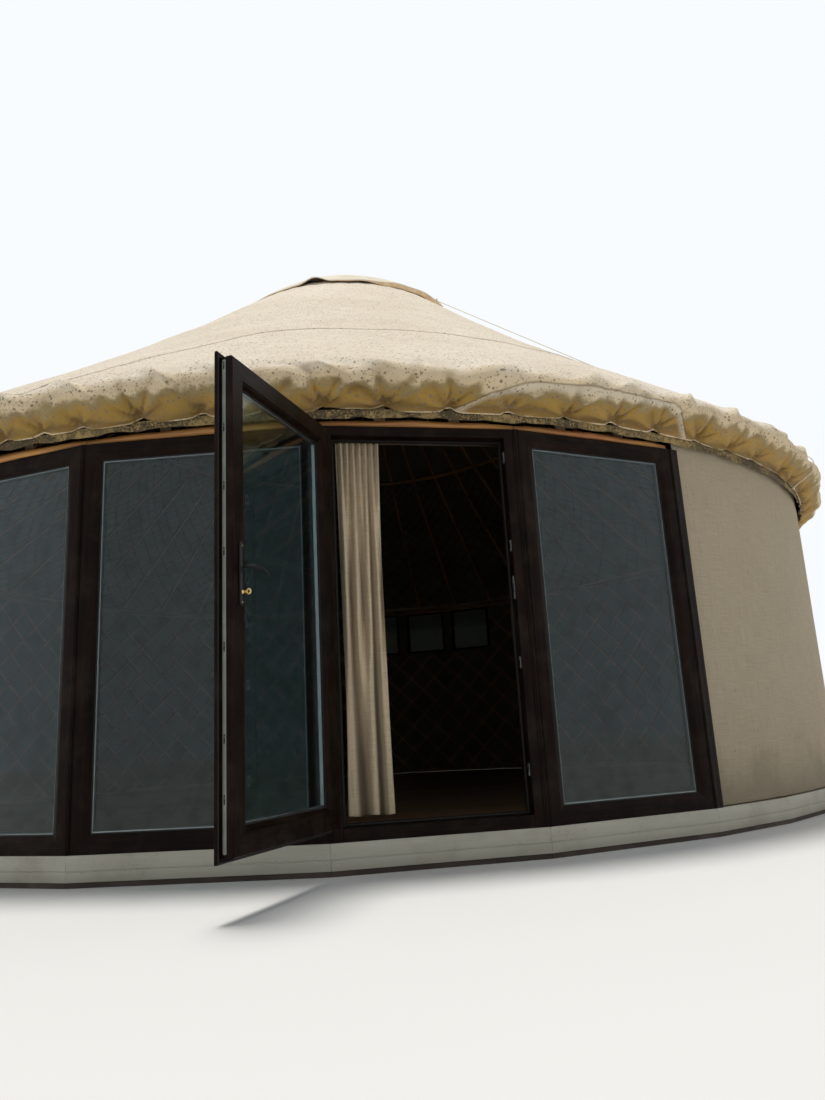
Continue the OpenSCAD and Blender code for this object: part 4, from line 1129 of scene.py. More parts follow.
def cloth(angle, s):
    """Places of the roof cloth, and how much painted shade its creases get, from -1 to 1. Between ties it
    swags, at ties it is drawn in, and folds fan out from them: cosines of the bearing about the tie, that
    fade with distance. Sharp diagonal folds cross the eave, and slow waves lie on the slope."""
    angle = angle % 360
    rz, out = roof_line(s)
    where = around(angle, rz[..., 0], rz[..., 1])
    after = np.searchsorted(TIES, angle) % len(TIES)
    left, right = TIES[after - 1], TIES[after]
    span = (right - left) % 360
    part = ((angle - left) % 360) / span
    loose = 0.55 + 0.45 * np.sin(left * 7.3)
    swag = np.sin(np.pi * part) * loose
    metres = np.pi / 180 * CLOTH_R
    fan, pinch = np.zeros_like(s), np.zeros_like(s)
    for tie, x in ((left, ((angle - left) % 360) * metres), (right, -((right - angle) % 360) * metres)):
        rise = s - 0.012
        far = np.hypot(x, rise)
        bearing = np.arctan2(x, rise + 0.004)
        seed = np.sin(tie * 12.9898) * 43758.5453 % 1
        folds = np.cos(bearing * (7 + 3 * seed) + 6 * seed) + 0.5 * np.cos(bearing * 15 + 9 * seed)
        fan += folds * np.exp(-far / (0.11 + 0.12 * seed)) * (1 - np.exp(-far / 0.03))
        pinch += (0.6 + 0.7 * seed) * np.exp(-(x / 0.035) ** 2 - (rise / 0.06) ** 2)
    drawn = np.exp(-((s - 0.085) / 0.1) ** 2)
    bulge = 0.026 * (swag ** 0.8 - 0.3) * drawn - 0.018 * pinch
    side_on = np.where(bearing_of(angle) < 0, -1.0, 1.0)
    skew = np.stack([np.radians(angle) * CLOTH_R - 1.1 * side_on * s, 0.5 * s, 0 * s], axis=-1)
    knee_part = np.exp(-((s - 0.26) / 0.16) ** 2)
    ridge = np.clip(1 - np.abs(swell(skew, 0.62, 21)) * 1.5, 0, 1) ** 1.6
    folds = 0.04 * ridge + 0.009 * swell(skew, 0.24, 22) - 0.012
    slope_part = np.clip((s - UNDER - ARC) / 0.4, 0, 1)
    waves = swell(where, 1.1, 31) * 0.005 + swell(where, 0.36, 32) * 0.0014
    rings = swell(np.stack([np.radians(angle) * 1.2, 9.0 * s, 0 * s], axis=-1), 1.0, 33) * 0.0012
    ribs = 0.0014 * (np.cos(np.radians(angle) * POLE_COUNT) - 1)
    bearing = bearing_of(angle)
    flap = smooth((bearing - FLAP_FROM) / 4) * smooth((FLAP_TO - bearing) / 3)
    rolled = np.exp(-((s - FLAP_S + 0.05) / 0.035) ** 2) * (0.6 + 0.4 * swag)
    lobe = 0.013 * flap * (rolled - 0.3 * smooth((s - FLAP_S) / 0.01))
    on_slope = slope_part * (waves + rings + ribs)
    off = bulge + 0.0115 * fan + folds * knee_part + lobe * (s < FLAP_S + 0.1) + on_slope
    droop = -0.011 * swag * np.exp(-s / 0.05) + 0.005 * pinch
    rz = rz + off[..., None] * out + np.stack([0 * s, droop], axis=-1)
    # Painted shade in the creases: in the valleys of the fans, at the ties, off the ridges on the eave, and
    # less where the cloth swags out.
    crease_shade = np.clip(-fan, -1, 1) * 0.9 + 0.9 * pinch - 0.25 * swag * drawn + 0.7 * knee_part * (0.35 - ridge)
    return on_roof(angle, rz[..., 0], rz[..., 1]), crease_shade


canvas, shader, uv, place = finish("mildewed_roof_canvas", 0.92, Sheen_Weight=0.1, Specular_IOR_Level=0.3)
threads = use(weave, Vector=uv, Threads=420.0)
specks = use(mildew, Vector=place, Spacing=0.027, Amount=0.6)
fine_specks = use(mildew, Vector=place, Spacing=0.016, Amount=0.9)
grime = use(dirt, Vector=place, Speck=0.016, Amount=0.7)
from_hem = split(uv)[1]
# How much painted shade each point of the mesh gets in the creases.
crease_shade = attribute(shader, "crease_shade")
past_seam = attribute(shader, "seam")
past_flap = attribute(shader, "flap")
blotch = noise(place, 1.3, 4.0, 0.6)
broken = noise(place, 9.0, 4.0, 0.65)
mottle = noise(place, 38.0, 3.0, 0.7)
tone = eased(plus(times(blotch, 0.45), plus(times(broken, 0.3), times(mottle, 0.25))), 0.38, 0.62)
fresh = mixed(tone, CREAM_SHADE, CREAM)
grainy = mixed(eased(threads["Slubs"], 0.42, 0.62, 0.25, 0.0), fresh, CREAM_SHADE)


def line_at(distance, middle, half):
    """A soft line where a distance is near to a value: 1 in its middle and 0 from twice its half width
    on."""
    far = math("ABSOLUTE", math("SUBTRACT", distance, middle))
    return eased(far, half * 2, half * 0.4)


# The lap seam: a painted shadow line under the upper cloth's edge, and a stitch line just above it.
lap_shadow_and_stitch = larger(line_at(past_seam, -SEAM_LAP, 0.0045),
                  times(line_at(past_seam, SEAM_LAP * 0.6, 0.0035), 0.75))
# A painted shadow line under the flap's edge.
flap_shadow_line = line_at(past_flap, 0.0, 0.0045)
crown_line = times(line_at(from_hem, CROWN_SEAM, 0.004), 0.5)
lines = larger(lap_shadow_and_stitch, crown_line)
faded = times(lines, eased(mottle, 0.35, 0.6, 0.06, 0.36))
seamed = mixed(faded, grainy, (0.3, 0.2, 0.12, 1))
# The underside: ochre staining that is also painted shade where the eave turns under. Its edge follows the
# folds and a broken noise, and it grows darker towards the hem and in the folds, as staining and painted
# shade.
ragged = plus(times(crease_shade, -0.035), plus(from_hem, times(math("SUBTRACT", broken, 0.5), 0.12)))
under = eased(ragged, 0.188, 0.152)
yellowed = eased(ragged, 0.16, 0.1)
deeper_stain_and_shade = eased(plus(ragged, times(crease_shade, -0.06)), 0.1, 0.0, 0.0, 0.65)
ochre_stain_and_shade = mixed(deeper_stain_and_shade, mixed(yellowed, GREYED, OCHRE), OCHRE_DARK_SHADED)
# A tan band above the underside: painted warm shade where the eave turns away from the light.
warm_shade_band = mixed(eased(ragged, 0.31, 0.2, 0.0, 0.75), seamed, (0.72, 0.55, 0.32, 1))
stained_and_shaded = mixed(times(under, 0.95), warm_shade_band, ochre_stain_and_shade)
# Painted shade in the creases: a dull brown on the cream and dark ochre on the underside.
crease_shaded = mixed(eased(crease_shade, 0.1, 0.9, 0.0, 0.55), stained_and_shaded, mixed(under, (0.36, 0.28, 0.17, 1), OCHRE_DARK_SHADED))
# Painted highlight: the bulges just below the flap's edge are paler, as if lit, where the underside is
# otherwise ochre.
lobe_highlight = times(eased(past_flap, -0.06, -0.02, 0.0, 0.6), eased(past_flap, 0.0, -0.008))
flap_shaded = mixed(times(flap_shadow_line, 0.5), mixed(lobe_highlight, crease_shaded, CREAM_SHADE), (0.13, 0.08, 0.035, 1))
near_lines = eased(math("ABSOLUTE", past_seam), 0.2, 0.0, 0.0, 0.25)
near_hem = plus(eased(from_hem, 0.7, 0.1, 0.0, 0.3), near_lines)
patches = times(grime["Specks"], eased(from_hem, 0.5, 0.2, 0.0, 0.3))
dots = larger(patches, larger(times(specks["Dots"], plus(0.6, near_hem)), times(fine_specks["Dots"], 0.8)))
# The inside face takes the painted shade of the tent's inside.
inside = add(shader.id_data, "NewGeometry").outputs["Backfacing"]
coat(shader, mixed(inside, mixed(dots, flap_shaded, MILDEW), INSIDE_SHADE),
     plus(times(threads["Height"], 0.15), broken), 0.002)


def roof_cloth(name, angle, s_rows, lift, replaced):
    """A ring of roof cloth whose rows lie at distances from the hem that may change with the angle."""
    A = np.broadcast_to(angle, s_rows.shape)
    points, crease_shade = cloth(A, s_rows)
    out = roof_line(s_rows)[1]
    turn = np.radians(A)
    off_x, off_y = lift * out[..., 0] * np.sin(turn), -lift * out[..., 0] * np.cos(turn)
    points = points + np.stack([off_x, off_y, lift * out[..., 1]], axis=-1)
    full = np.concatenate([angle, [angle[0] + 360]])
    rows = np.concatenate([s_rows, s_rows[:, :1]], axis=1)
    uv_map = np.stack([np.broadcast_to(np.radians(full) * CLOTH_R, rows.shape), rows], axis=-1)
    part = patch(points, ring=True, uv=uv_map)
    bearing = bearing_of(A)
    outside = 0.06 * np.clip(np.maximum(FLAP_FROM + 0.7 - bearing, bearing - FLAP_TO), 0, None)
    corner = 0.075 * smooth((FLAP_FROM + 6 - bearing) / 6) ** 2
    marks = {"crease_shade": crease_shade, "seam": s_rows - seam_at(A), "flap": s_rows - FLAP_S + corner + outside}
    return piece(name, [part], canvas, "yurt", replaced, sheet=True, sharp=70, marks=marks)


angle = np.arange(0, 360, 0.25)
seam_s = seam_at(angle)
knee = np.r_[np.linspace(0, UNDER, 13), UNDER + ARC * np.linspace(0, 1, 12)[1:]]
share = np.linspace(0, 1, 31)[1:] ** 1.35
above = np.arange(len(knee))[::-1, None]
low_rows = np.minimum(knee[:, None], (seam_s + SEAM_LAP) * (1 - above * 0.004))
left_over = np.maximum(seam_s + SEAM_LAP - low_rows[-1], 0.002)
s_rows = np.concatenate([low_rows, low_rows[-1] + share[:, None] * left_over])
lower_roof = roof_cloth("roof_cloth_lower", angle, s_rows, 0 * s_rows,
                        ["roof_canvas_front", "roof_canvas_right"])
angle = np.arange(0, 360, 0.4)
seam_s = seam_at(angle) - SEAM_LAP
top_s = distance_at(HOLE_R)
share = np.r_[0, 0.0015, 0.004, 0.009, 0.016, 0.026, 0.04, 0.055, 0.075, np.linspace(0.1, 1, 46)]
s_rows = seam_s[None, :] + share[:, None] * (top_s - seam_s)[None, :]
lap = 0.0028 * np.clip(1.6 - share * 40, 0, 1)[:, None] + 0.0012 + 0 * s_rows
lap[0] = 0.0005
upper_roof = roof_cloth("roof_cloth_upper", angle, s_rows, lap, ["roof_canvas_back", "roof_canvas_left"])

# Hem: the edge of the roof cloth, rolled over a cord that runs through the ties and stitched down, so
# that it makes a thin piping.
HEM_ROLL_R = 0.0046

angle = np.arange(0, 360, 0.4)
edge_path = cloth(angle, 0 * angle)[0]
outward = around(angle, 1.0, 0.0)
turn = turns(8)
thick = HEM_ROLL_R + 0.0012 * swell(edge_path, 0.09, 41)
grid = carried(edge_path + [0, 0, 0.004], thick[:, None] * np.cos(turn), thick[:, None] * np.sin(turn),
               outward, UP)
around_hem = np.r_[np.radians(angle), 2 * np.pi] * HEM[0]
# The hem's map rows lie at the edge of the underside's ochre, so the roll takes part of its staining and
# painted shade.
hem_uv = np.stack(np.meshgrid(np.linspace(0.175, 0.195, 8), around_hem, indexing="ij")[::-1], axis=-1)
hem_part = patch(np.moveaxis(grid, 0, 1), ring=True, uv=hem_uv)
hem_close = patch(np.stack([grid[:, -1], grid[:, 0]]), ring=True, uv=hem_uv[-2:])
hem_points = hem_part[0]
count = len(angle)
column, following = np.arange(count), (np.arange(count) + 1) % count
close_quads = np.stack([column, following, following + 7 * count, column + 7 * count], axis=1)[:, ::-1]
hem_mesh = (hem_points, np.concatenate([hem_part[1], close_quads]),
            np.concatenate([hem_part[2], hem_close[2]]), [])
# Painted shade along the hem roll, random in strength, given as its creases' shade.
hem_crease_shade = 0.45 + 0.5 * swell(hem_points, 0.5, 42)
piece("roof_hem", [hem_mesh], canvas, "yurt", sharp=80,
      marks={"crease_shade": hem_crease_shade, "seam": np.ones(len(hem_points)), "flap": np.ones(len(hem_points))})


# Valance: a narrow strip of old cloth, sewn behind the piping, that hangs from the hem and has gone
# black with mould.
VALANCE_R, VALANCE_H = 4.2888, 0.042
STRIP_CLOTH = (0.38, 0.27, 0.11, 1)
STRIP_MOULD = (0.045, 0.036, 0.024, 1)

mouldy, shader, uv, place = finish("mouldy_strip_cloth", 0.95)
spots = use(dirt, Vector=place, Speck=0.011, Amount=1.2)
wide_spots = noise(place, 24.0, 4.0, 0.6)
aged_and_shaded = mixed(eased(wide_spots, 0.35, 0.65), STRIP_CLOTH, (0.18, 0.13, 0.055, 1))
coat(shader, mixed(times(spots["Specks"], 0.85), aged_and_shaded, STRIP_MOULD), wide_spots, 0.003)
angle = np.arange(0, 360, 0.25)
z = np.linspace(HEM[1] + 0.004, HEM[1] - VALANCE_H, 7)
A, Z = np.meshgrid(angle, z)
down = (HEM[1] - Z) / VALANCE_H
where = around(A, 4.29, 0.0)
ripple = swell(where, 0.13, 51) * 0.005 + swell(where, 0.05, 52) * 0.0022
frayed = 0.006 * swell(where, 0.11, 53) * np.clip(down, 0, 1) ** 2
grid = around(A, VALANCE_R + 0.002 + ripple * np.clip(down, 0.15, 1), Z + frayed) + [lean(HEM[1]), 0, 0]
wide_a = np.r_[angle, 360]
uv_map = np.stack(np.meshgrid(z, np.radians(wide_a) * 4.29, indexing="ij")[::-1], axis=-1)
valance = piece("valance_strip", [patch(grid, ring=True, flip=True, uv=uv_map)], mouldy, "yurt",
                ["roof_valance"], sheet=True, sharp=80)


# Crown cover: a round cloth over the crown, whose taped edge stands on the roof; the tape's lower edge
# is darkened as painted shade where it stands over the roof. The tape shows narrow on the left and broad
# on the right, and over the doorway the edge has blown up.
COVER_R, COVER_CUT_R = 1.19, 1.225
RING_R = 1.0
SETTLED = 0.064
HEM_ROLL = 0.006
DOME_R, DOME_Z = 2.68382, 2.5014
BAR_T = 0.04
TRIM = (0.8, 0.56, 0.33, 1)
TRIM_PALE = (0.92, 0.73, 0.5, 1)
# Painted shade for the tape's lower edge.
TRIM_SHADE = (0.07, 0.04, 0.022, 1)

cover_cloth, shader, uv, place = finish("cover_canvas", 0.9, Sheen_Weight=0.12)
threads = use(weave, Vector=place, Threads=420.0)
specks = use(dirt, Vector=place, Speck=0.012, Amount=0.35)
tone = eased(noise(place, 3.0, 4.0), 0.35, 0.65)
aged_and_shaded = mixed(tone, CREAM_SHADE, CREAM)
coat(shader, mixed(times(specks["Specks"], 0.6), aged_and_shaded, MILDEW), threads["Slubs"], 0.001)
trim_cloth, shader, uv, place = finish("trim_tape", 0.85)
patchy = noise(place, 18.0, 4.0)
down = attribute(shader, "down")
# Painted shade along the lower edge of the tape, where it stands over the roof, ragged with noise.
tape_edge_shade = eased(plus(down, times(patchy, 0.14)), 0.72, 0.86)
coat(shader, mixed(tape_edge_shade, mixed(eased(patchy, 0.4, 0.7), TRIM, TRIM_PALE), TRIM_SHADE), patchy, 0.0015)

cover_in = DOME_R + BAR_T / 2 + 0.0003
crown_x = lean(slope_z(CROWN_R, EAVE_R - ROOF_T - 0.0194))
angle = np.arange(0, 360, 1.5)


def bump_at(angle, middle, width):
    """A smooth rise from 0 to 1 and back, about a bearing."""
    return smooth(1 - np.abs(bearing_of(angle - middle)) / width)


def cover_point(share, angle, drop=0.0):
    """The crown cover at a share of its radius: the sphere over the bars, sunk a little between them.
    Past the ring it settles on to the roof's slope, but over the doorway and to its right its edge stands
    off."""
    radius = COVER_R * share
    x, y = radius * np.sin(np.radians(angle)), -radius * np.cos(np.radians(angle))
    z = DOME_Z + np.sqrt((cover_in + 0.003) ** 2 - radius ** 2)
    on_bars = (np.cos(2 * np.pi * x / 0.26) + np.cos(2 * np.pi * y / 0.26)) / 2 - 1
    inside = np.clip((0.84 - share) * 6, 0, 1)
    past_ring = smooth((radius - RING_R) / (COVER_R - RING_R))
    standing = 0.85 * bump_at(angle, -20, 8) + 0.16 * smooth((angle + 30) / 12) * smooth((12 - angle) / 12)
    standing = np.clip(standing + 0.62 * smooth((angle - 2) / 20) * smooth((64 - angle) / 16), 0, 1)
    shoulder = smooth((angle + 40) / 30) * smooth((70 - angle) / 30)
    shoulder = shoulder * np.exp(-((radius - RING_R - 0.02) / 0.07) ** 2)
    ripples = 0.004 * np.sin(np.radians(angle) * 11 + 1.0) + 0.003 * np.sin(np.radians(angle) * 23)
    settled = ripples - SETTLED * (1 - standing)
    z = z + 0.004 * on_bars * inside + 0.022 * shoulder + past_ring * settled - drop
    return np.stack([x + crown_x, y, z], axis=-1)


share = np.r_[0.002, np.linspace(0.03, 0.8, 22), np.linspace(0.82, 1, 12)]
bearings = bearing_of(angle)
S, A = np.meshgrid(share, bearings, indexing="ij")
wide_a = np.r_[angle, 360]
uv_map = np.stack(np.meshgrid(share * COVER_R, np.radians(wide_a), indexing="ij"), axis=-1)
cover = piece("cover_cloth", [patch(cover_point(S, A), ring=True, uv=uv_map)], cover_cloth, "yurt",
              ["crown_cover"], sheet=True, sharp=60)
shell = cover.modifiers.new("cloth", "SOLIDIFY")
shell.thickness, shell.offset = 0.005, 0.0
wide_part = 0.038 * smooth((bearings - 1) / 18) * smooth((60 - bearings) / 12)
trim_h = 0.012 + wide_part - 0.005 * bump_at(bearings, -20, 10)
D, A = np.broadcast_arrays(np.linspace(0, 1, 9)[:, None], bearings[None, :])
band = cover_point(1.0, A, D * trim_h[None, :] - 0.001)
tucked = around(A, -0.05 * D ** 1.5 * trim_h[None, :] / 0.065 + 0.003 * np.sin(np.radians(A) * 17) * D, 0.0)
trim = piece("cover_trim", [patch(band + tucked, ring=True)], trim_cloth, "yurt", sheet=True,
             sharp=60, marks={"down": D})
shell = trim.modifiers.new("tape", "SOLIDIFY")
shell.thickness, shell.offset = 0.003, 0.0
edge_line = cover_point(1.0, bearings, 0.002)
turn = turns(8)
roll = carried(edge_line, HEM_ROLL * np.cos(turn), HEM_ROLL * np.sin(turn), around(bearings, 1.0, 0.0), UP)
rolled = piece("cover_hem", [patch(np.concatenate([roll, roll[:1]]), ring=True)], cover_cloth, "yurt",
               sharp=80)


# Ropes: three ropes of three laid strands from the edge of the cover, drawn tight over the eave and
# knotted at the cover and at the hem.
ROPE_D = 0.008
ROPE_AT = [45.0, 165.0, -75.0]
LAY = 0.03

fibre, shader, uv, place = finish("laid_rope", 0.85)
hairs = noise(place, 260.0, 3.0)
coat(shader, mixed(hairs, (0.66, 0.58, 0.44, 1), (0.9, 0.84, 0.7, 1)), hairs, 0.0006)


def rope_route(angle):
    """A taut rope over the roof: from the cover's edge down to the round eave, round it, and in to the
    hem, as even steps along a broken line whose corners are the arc's points."""
    off = ROPE_D / 2 + 0.004
    arc_turn = TUCK + TURN * np.linspace(1, 0, 9)
    arc = EAVE_C + (EAVE_R + off) * np.stack([np.cos(arc_turn), np.sin(arc_turn)], axis=1)
    top = [COVER_R + ROPE_D / 2 + 0.0003, cover_point(1.0, np.array(float(angle)))[2]]
    foot = HEM + (ROPE_D / 2 + 0.004) * np.array([np.cos(TUCK), np.sin(TUCK)])
    line = np.vstack([top, arc, foot])
    gone = np.r_[0, np.cumsum(np.linalg.norm(np.diff(line, axis=0), axis=1))]
    even = np.linspace(0, gone[-1], int(gone[-1] / LAY * 6))
    rz = np.stack([np.interp(even, gone, line[:, 0]), np.interp(even, gone, line[:, 1])], axis=1)
    return on_roof(angle, rz[:, 0], rz[:, 1]), even


def laid(path, gone, radius, lay=LAY):
    """A rope of three strands: a three-lobed section that turns once in each lay along the path."""
    across, out = square_to(path, (0.03, 0.02, 1.0))
    turn = turns(9)[None, :]
    reach = radius * (0.86 + 0.14 * np.cos(3 * (turn - 2 * np.pi * gone[:, None] / lay)))
    return carried(path, reach * np.cos(turn), reach * np.sin(turn), across, out)


def knot(centre, size, seed):
    """An overhand knot: a closed loop of rope that winds three times through itself."""
    t = turns(72)
    loop = np.stack([np.sin(t) + 2 * np.sin(2 * t), np.cos(t) - 2 * np.cos(2 * t), -np.sin(3 * t)],
                    axis=1) * size / 3
    spun = loop @ np.linalg.qr(np.random.default_rng(seed).normal(size=(3, 3)))[0]
    length = np.linspace(0, 2 * np.pi * size * 2.4, 72, endpoint=False)
    whole = np.vstack([spun, spun[:2]]) + centre
    return laid(whole, np.r_[length, length[-1] + 0.002, length[-1] + 0.004], ROPE_D / 2, 0.02)


parts, tied = [], []
for k, angle in enumerate(ROPE_AT):
    path, gone = rope_route(angle)
    parts.append(solid(laid(path, gone, ROPE_D / 2)))
    tied += [solid(knot(path[0] + around(angle, 0.008, 0.004), 0.012, k)),
             solid(knot(path[-1] + around(angle, 0.004, -0.003), 0.011, k + 9))]
piece("roof_ropes", parts, fibre, "yurt", ["cover_ropes"], sharp=80)
piece("rope_knots", tied, fibre, "yurt", sharp=80)


# Curtain: unlined linen gathered on a tape, hung from rings on a bronzed rail. It is drawn to the hinge
# side, falls from seven pinched pleats into a few broad folds, and stops a hand above the floor. Painted
# shade darkens the hollows of its folds.
RAIL_Y, RAIL_Z, RAIL_LEN = 0.181, 2.14, 1.16
CURTAIN_L, CURTAIN_W, CURTAIN_T = -0.428, 0.235, 0.07
CURTAIN_FOOT, TAPE_FOOT = 0.239, 2.1
PLEATS = 7
LINEN = (0.84, 0.69, 0.47, 1)
LINEN_SHADE = (0.64, 0.5, 0.32, 1)

linen, shader, uv, place = finish("slubbed_linen", 0.88, Sheen_Weight=0.25)
threads = use(weave, Vector=uv, Threads=900.0)
# How deep each point lies in a hollow of the folds, for painted shade.
fold_shade_depth = attribute(shader, "fold_shade")
soft = mixed(eased(threads["Slubs"], 0.35, 0.65), LINEN_SHADE, LINEN)
# Painted shade: the hollows of the folds darken to brown.
aged_and_shaded = mixed(eased(fold_shade_depth, 0.25, -0.85, 0.0, 0.92), soft, (0.17, 0.115, 0.06, 1))
coat(shader, aged_and_shaded, plus(threads["Height"], times(threads["Slubs"], 2.0)), 0.0005)

across = np.linspace(0, 1, 421)
z = np.r_[CURTAIN_FOOT, CURTAIN_FOOT + 0.003, np.linspace(CURTAIN_FOOT + 0.03, TAPE_FOOT, 74), 2.118, 2.1312]
U, Z = np.meshgrid(across, z)
fall = np.clip((TAPE_FOOT - Z) / 1.86, 0, 1)
bend = U + 0.05 * np.sin(2 * np.pi * U + 1.5 * fall) * fall
narrow = np.sin(2 * np.pi * PLEATS * bend + 0.7 * np.sin(5 * fall))
middle_folds = np.sin(2 * np.pi * 4.1 * bend + 1.1 + 1.2 * fall)
broad_folds = np.sin(2 * np.pi * 2.4 * bend + 2.6 + 0.9 * np.sin(3 * fall))
first, last = smooth(1 - fall / 0.42), smooth((fall - 0.4) / 0.5)
wave = first * narrow * 0.42 + (1 - first - last).clip(0, 1) * middle_folds * 0.66 + last * broad_folds * 0.94
wave = 2 * ((np.sign(wave) * np.abs(wave) ** 0.85 + 1) / 2) ** 1.7 - 1
pinched = np.exp(-((Z - 2.085) / 0.022) ** 2)
x = CURTAIN_L + 0.003 + (CURTAIN_W - 0.006) * (U + 0.010 * np.sin(2 * np.pi * PLEATS * 2 * bend) * first)
x = x + 0.010 * fall * np.sin(2.4 * fall + 0.5) * (1 - U) - 0.012 * np.sin(np.pi * fall) * (U - 0.5)
billow = 0.004 * swell(np.stack([U * 1.2, 0 * U, Z], axis=-1), 0.3, 61)
y = RAIL_Y + CURTAIN_T / 2 * wave * (1 - 0.45 * pinched) + billow
foot_z = np.where(Z < CURTAIN_FOOT + 0.02, Z + 0.006 * (1 + np.sin(4 * np.pi * U + 1)) / 2, Z)
grid = on_side(door, np.stack([x, y, foot_z], axis=-1))
steps = np.linalg.norm(np.diff(grid, axis=1), axis=2)
gathered = np.r_[0, np.cumsum(steps.mean(axis=0))]
uv_map = np.stack(np.meshgrid(gathered, z), axis=-1)
drawn = piece("curtain_cloth", [patch(grid, uv=uv_map)], linen, "yurt", ["curtain"],
              sheet=True, sharp=80, marks={"fold_shade": -wave - 0.4 * pinched})

bronzed = drifting("bronzed_enamel", 30.0, (0.055, 0.032, 0.018, 1), (0.1, 0.06, 0.034, 1), 0.42,
                   Coat_Weight=0.1)
refinish("curtain_rail", bronzed)
rings = []
for k in range(PLEATS + 1):
    x = CURTAIN_L + 0.016 + (CURTAIN_W - 0.032) * k / PLEATS
    t = turns(20)
    wire = turns(6)
    t_grid, w_grid = np.meshgrid(np.r_[t, 0], wire, indexing="ij")
    reach = 0.0108 + 0.0014 * np.cos(w_grid)
    points = np.stack([x + 0.0014 * np.sin(w_grid), RAIL_Y + reach * np.cos(t_grid),
                       RAIL_Z - 0.0018 + reach * np.sin(t_grid)], axis=-1)
    rings.append(patch(on_side(door, points), ring=True))
ring_piece = piece("curtain_rings", rings, zinc, "yurt", sharp=80)
ends_caps = []
for side in (-1, 1):
    tip = on_side(door, [side * RAIL_LEN / 2, RAIL_Y, RAIL_Z])
    along, out, up = side_vectors(door)
    ends_caps.append(dome(tip, out, up, side * along, 0.0115, 0.009, 14, 4))
piece("rail_ends", ends_caps, bronzed, "yurt", sharp=60)


# Leaf: a mitred sash with a rim that laps over the frame, and a hardware groove round its edge.
# All of it is drawn as shut and then turned about its pins to where it stands.
PIN_X, PIN_Y = -0.513, -0.010
DOOR_OPEN = np.radians(120)
LEAF_L, LEAF_R, LEAF_B, LEAF_T = -0.455, 0.44, 0.214, 2.105
LEAF_OUT, LEAF_IN = 0.001, 0.056
LAP_W, LAP_T = 0.02, 0.014
LEAF_FACE = 0.1


def on_leaf(points):
    """Points drawn on the shut leaf, turned about the hinge pins by the angle at which it stands open."""
    x, y, z = np.moveaxis(np.asarray(points, float), -1, 0)
    dx, dy = x - PIN_X, y - PIN_Y
    turned_x = dx * np.cos(DOOR_OPEN) + dy * np.sin(DOOR_OPEN)
    turned_y = -dx * np.sin(DOOR_OPEN) + dy * np.cos(DOOR_OPEN)
    return on_side(door, np.stack([PIN_X + turned_x, PIN_Y + turned_y, z], axis=-1))


glass_deep = LEAF_OUT + 0.006 - (LEAF_OUT - LAP_T)
sash_deep = LEAF_IN - LEAF_OUT + LAP_T
sash_face = LEAF_FACE + LAP_W
sash_section = np.array([[0, 0.0015], [0.0015, 0], [sash_face - 0.03, 0], [sash_face - 0.026, 0.0012],
                         [sash_face - 0.006,
                          glass_deep - 0.009], [sash_face,
                                                glass_deep - 0.004], [sash_face,
                                                glass_deep + GLASS_T + 0.003], [sash_face - 0.002,
                                                glass_deep + GLASS_T + 0.006], [sash_face - 0.013,
                                                sash_deep - 0.007], [sash_face - 0.019,
                                                sash_deep - 0.005], [sash_face - 0.02,
                                                sash_deep - 0.001], [sash_face - 0.0225,
                                                sash_deep], [LAP_W + 0.003, sash_deep], [LAP_W,
                                                sash_deep - 0.003], [LAP_W,
                                                LAP_T + 0.0255], [LAP_W + 0.0025,
                                                LAP_T + 0.0255], [LAP_W + 0.0025, LAP_T + 0.0075], [LAP_W,
                                                LAP_T + 0.0075], [LAP_W, LAP_T], [0.0015, LAP_T], [0,
                                                LAP_T - 0.0015]])
rim = (LEAF_L - LAP_W, LEAF_R + LAP_W, LEAF_OUT - LAP_T, LEAF_B - LAP_W, LEAF_T + LAP_W)
piece("leaf_sash", solids_on(on_leaf, frame_of(*rim, sash_section)), foil, "door_leaf", ["leaf_frame"],
      sharp=20)
glass_box = (LEAF_L + LEAF_FACE, LEAF_R - LEAF_FACE, LEAF_OUT + 0.006, LEAF_B + LEAF_FACE, LEAF_T - LEAF_FACE)
half_turn = np.linspace(0, np.pi, 6)
lip = np.column_stack([0.006 + 0.0035 * np.cos(half_turn), LAP_T + 0.003 * np.sin(half_turn)])
piece("leaf_seals", solids_on(on_leaf, gaskets_of(*glass_box) + frame_of(*rim, lip)), rubber, "door_leaf",
      sharp=50)
inset = 0.0005
panes, bars = glazing(glass_box[0] + inset, glass_box[1] - inset, glass_box[2], glass_box[3] + inset,
                      glass_box[4] - inset)
piece("leaf_panes", solids_on(on_leaf, panes), clear, "door_leaf", ["leaf_glass"], sharp=20)
piece("leaf_spacer", solids_on(on_leaf, bars), bright, "door_leaf", sharp=20)

# Lock strip: a long faceplate of passivated steel in the groove of the free edge, screwed down, with
# slots where the locking cams travel.
SLOT_Z = [2.067, 1.806, 1.569, 1.31, 0.95, 0.62, 0.41]
SCREW_STEP = 0.205

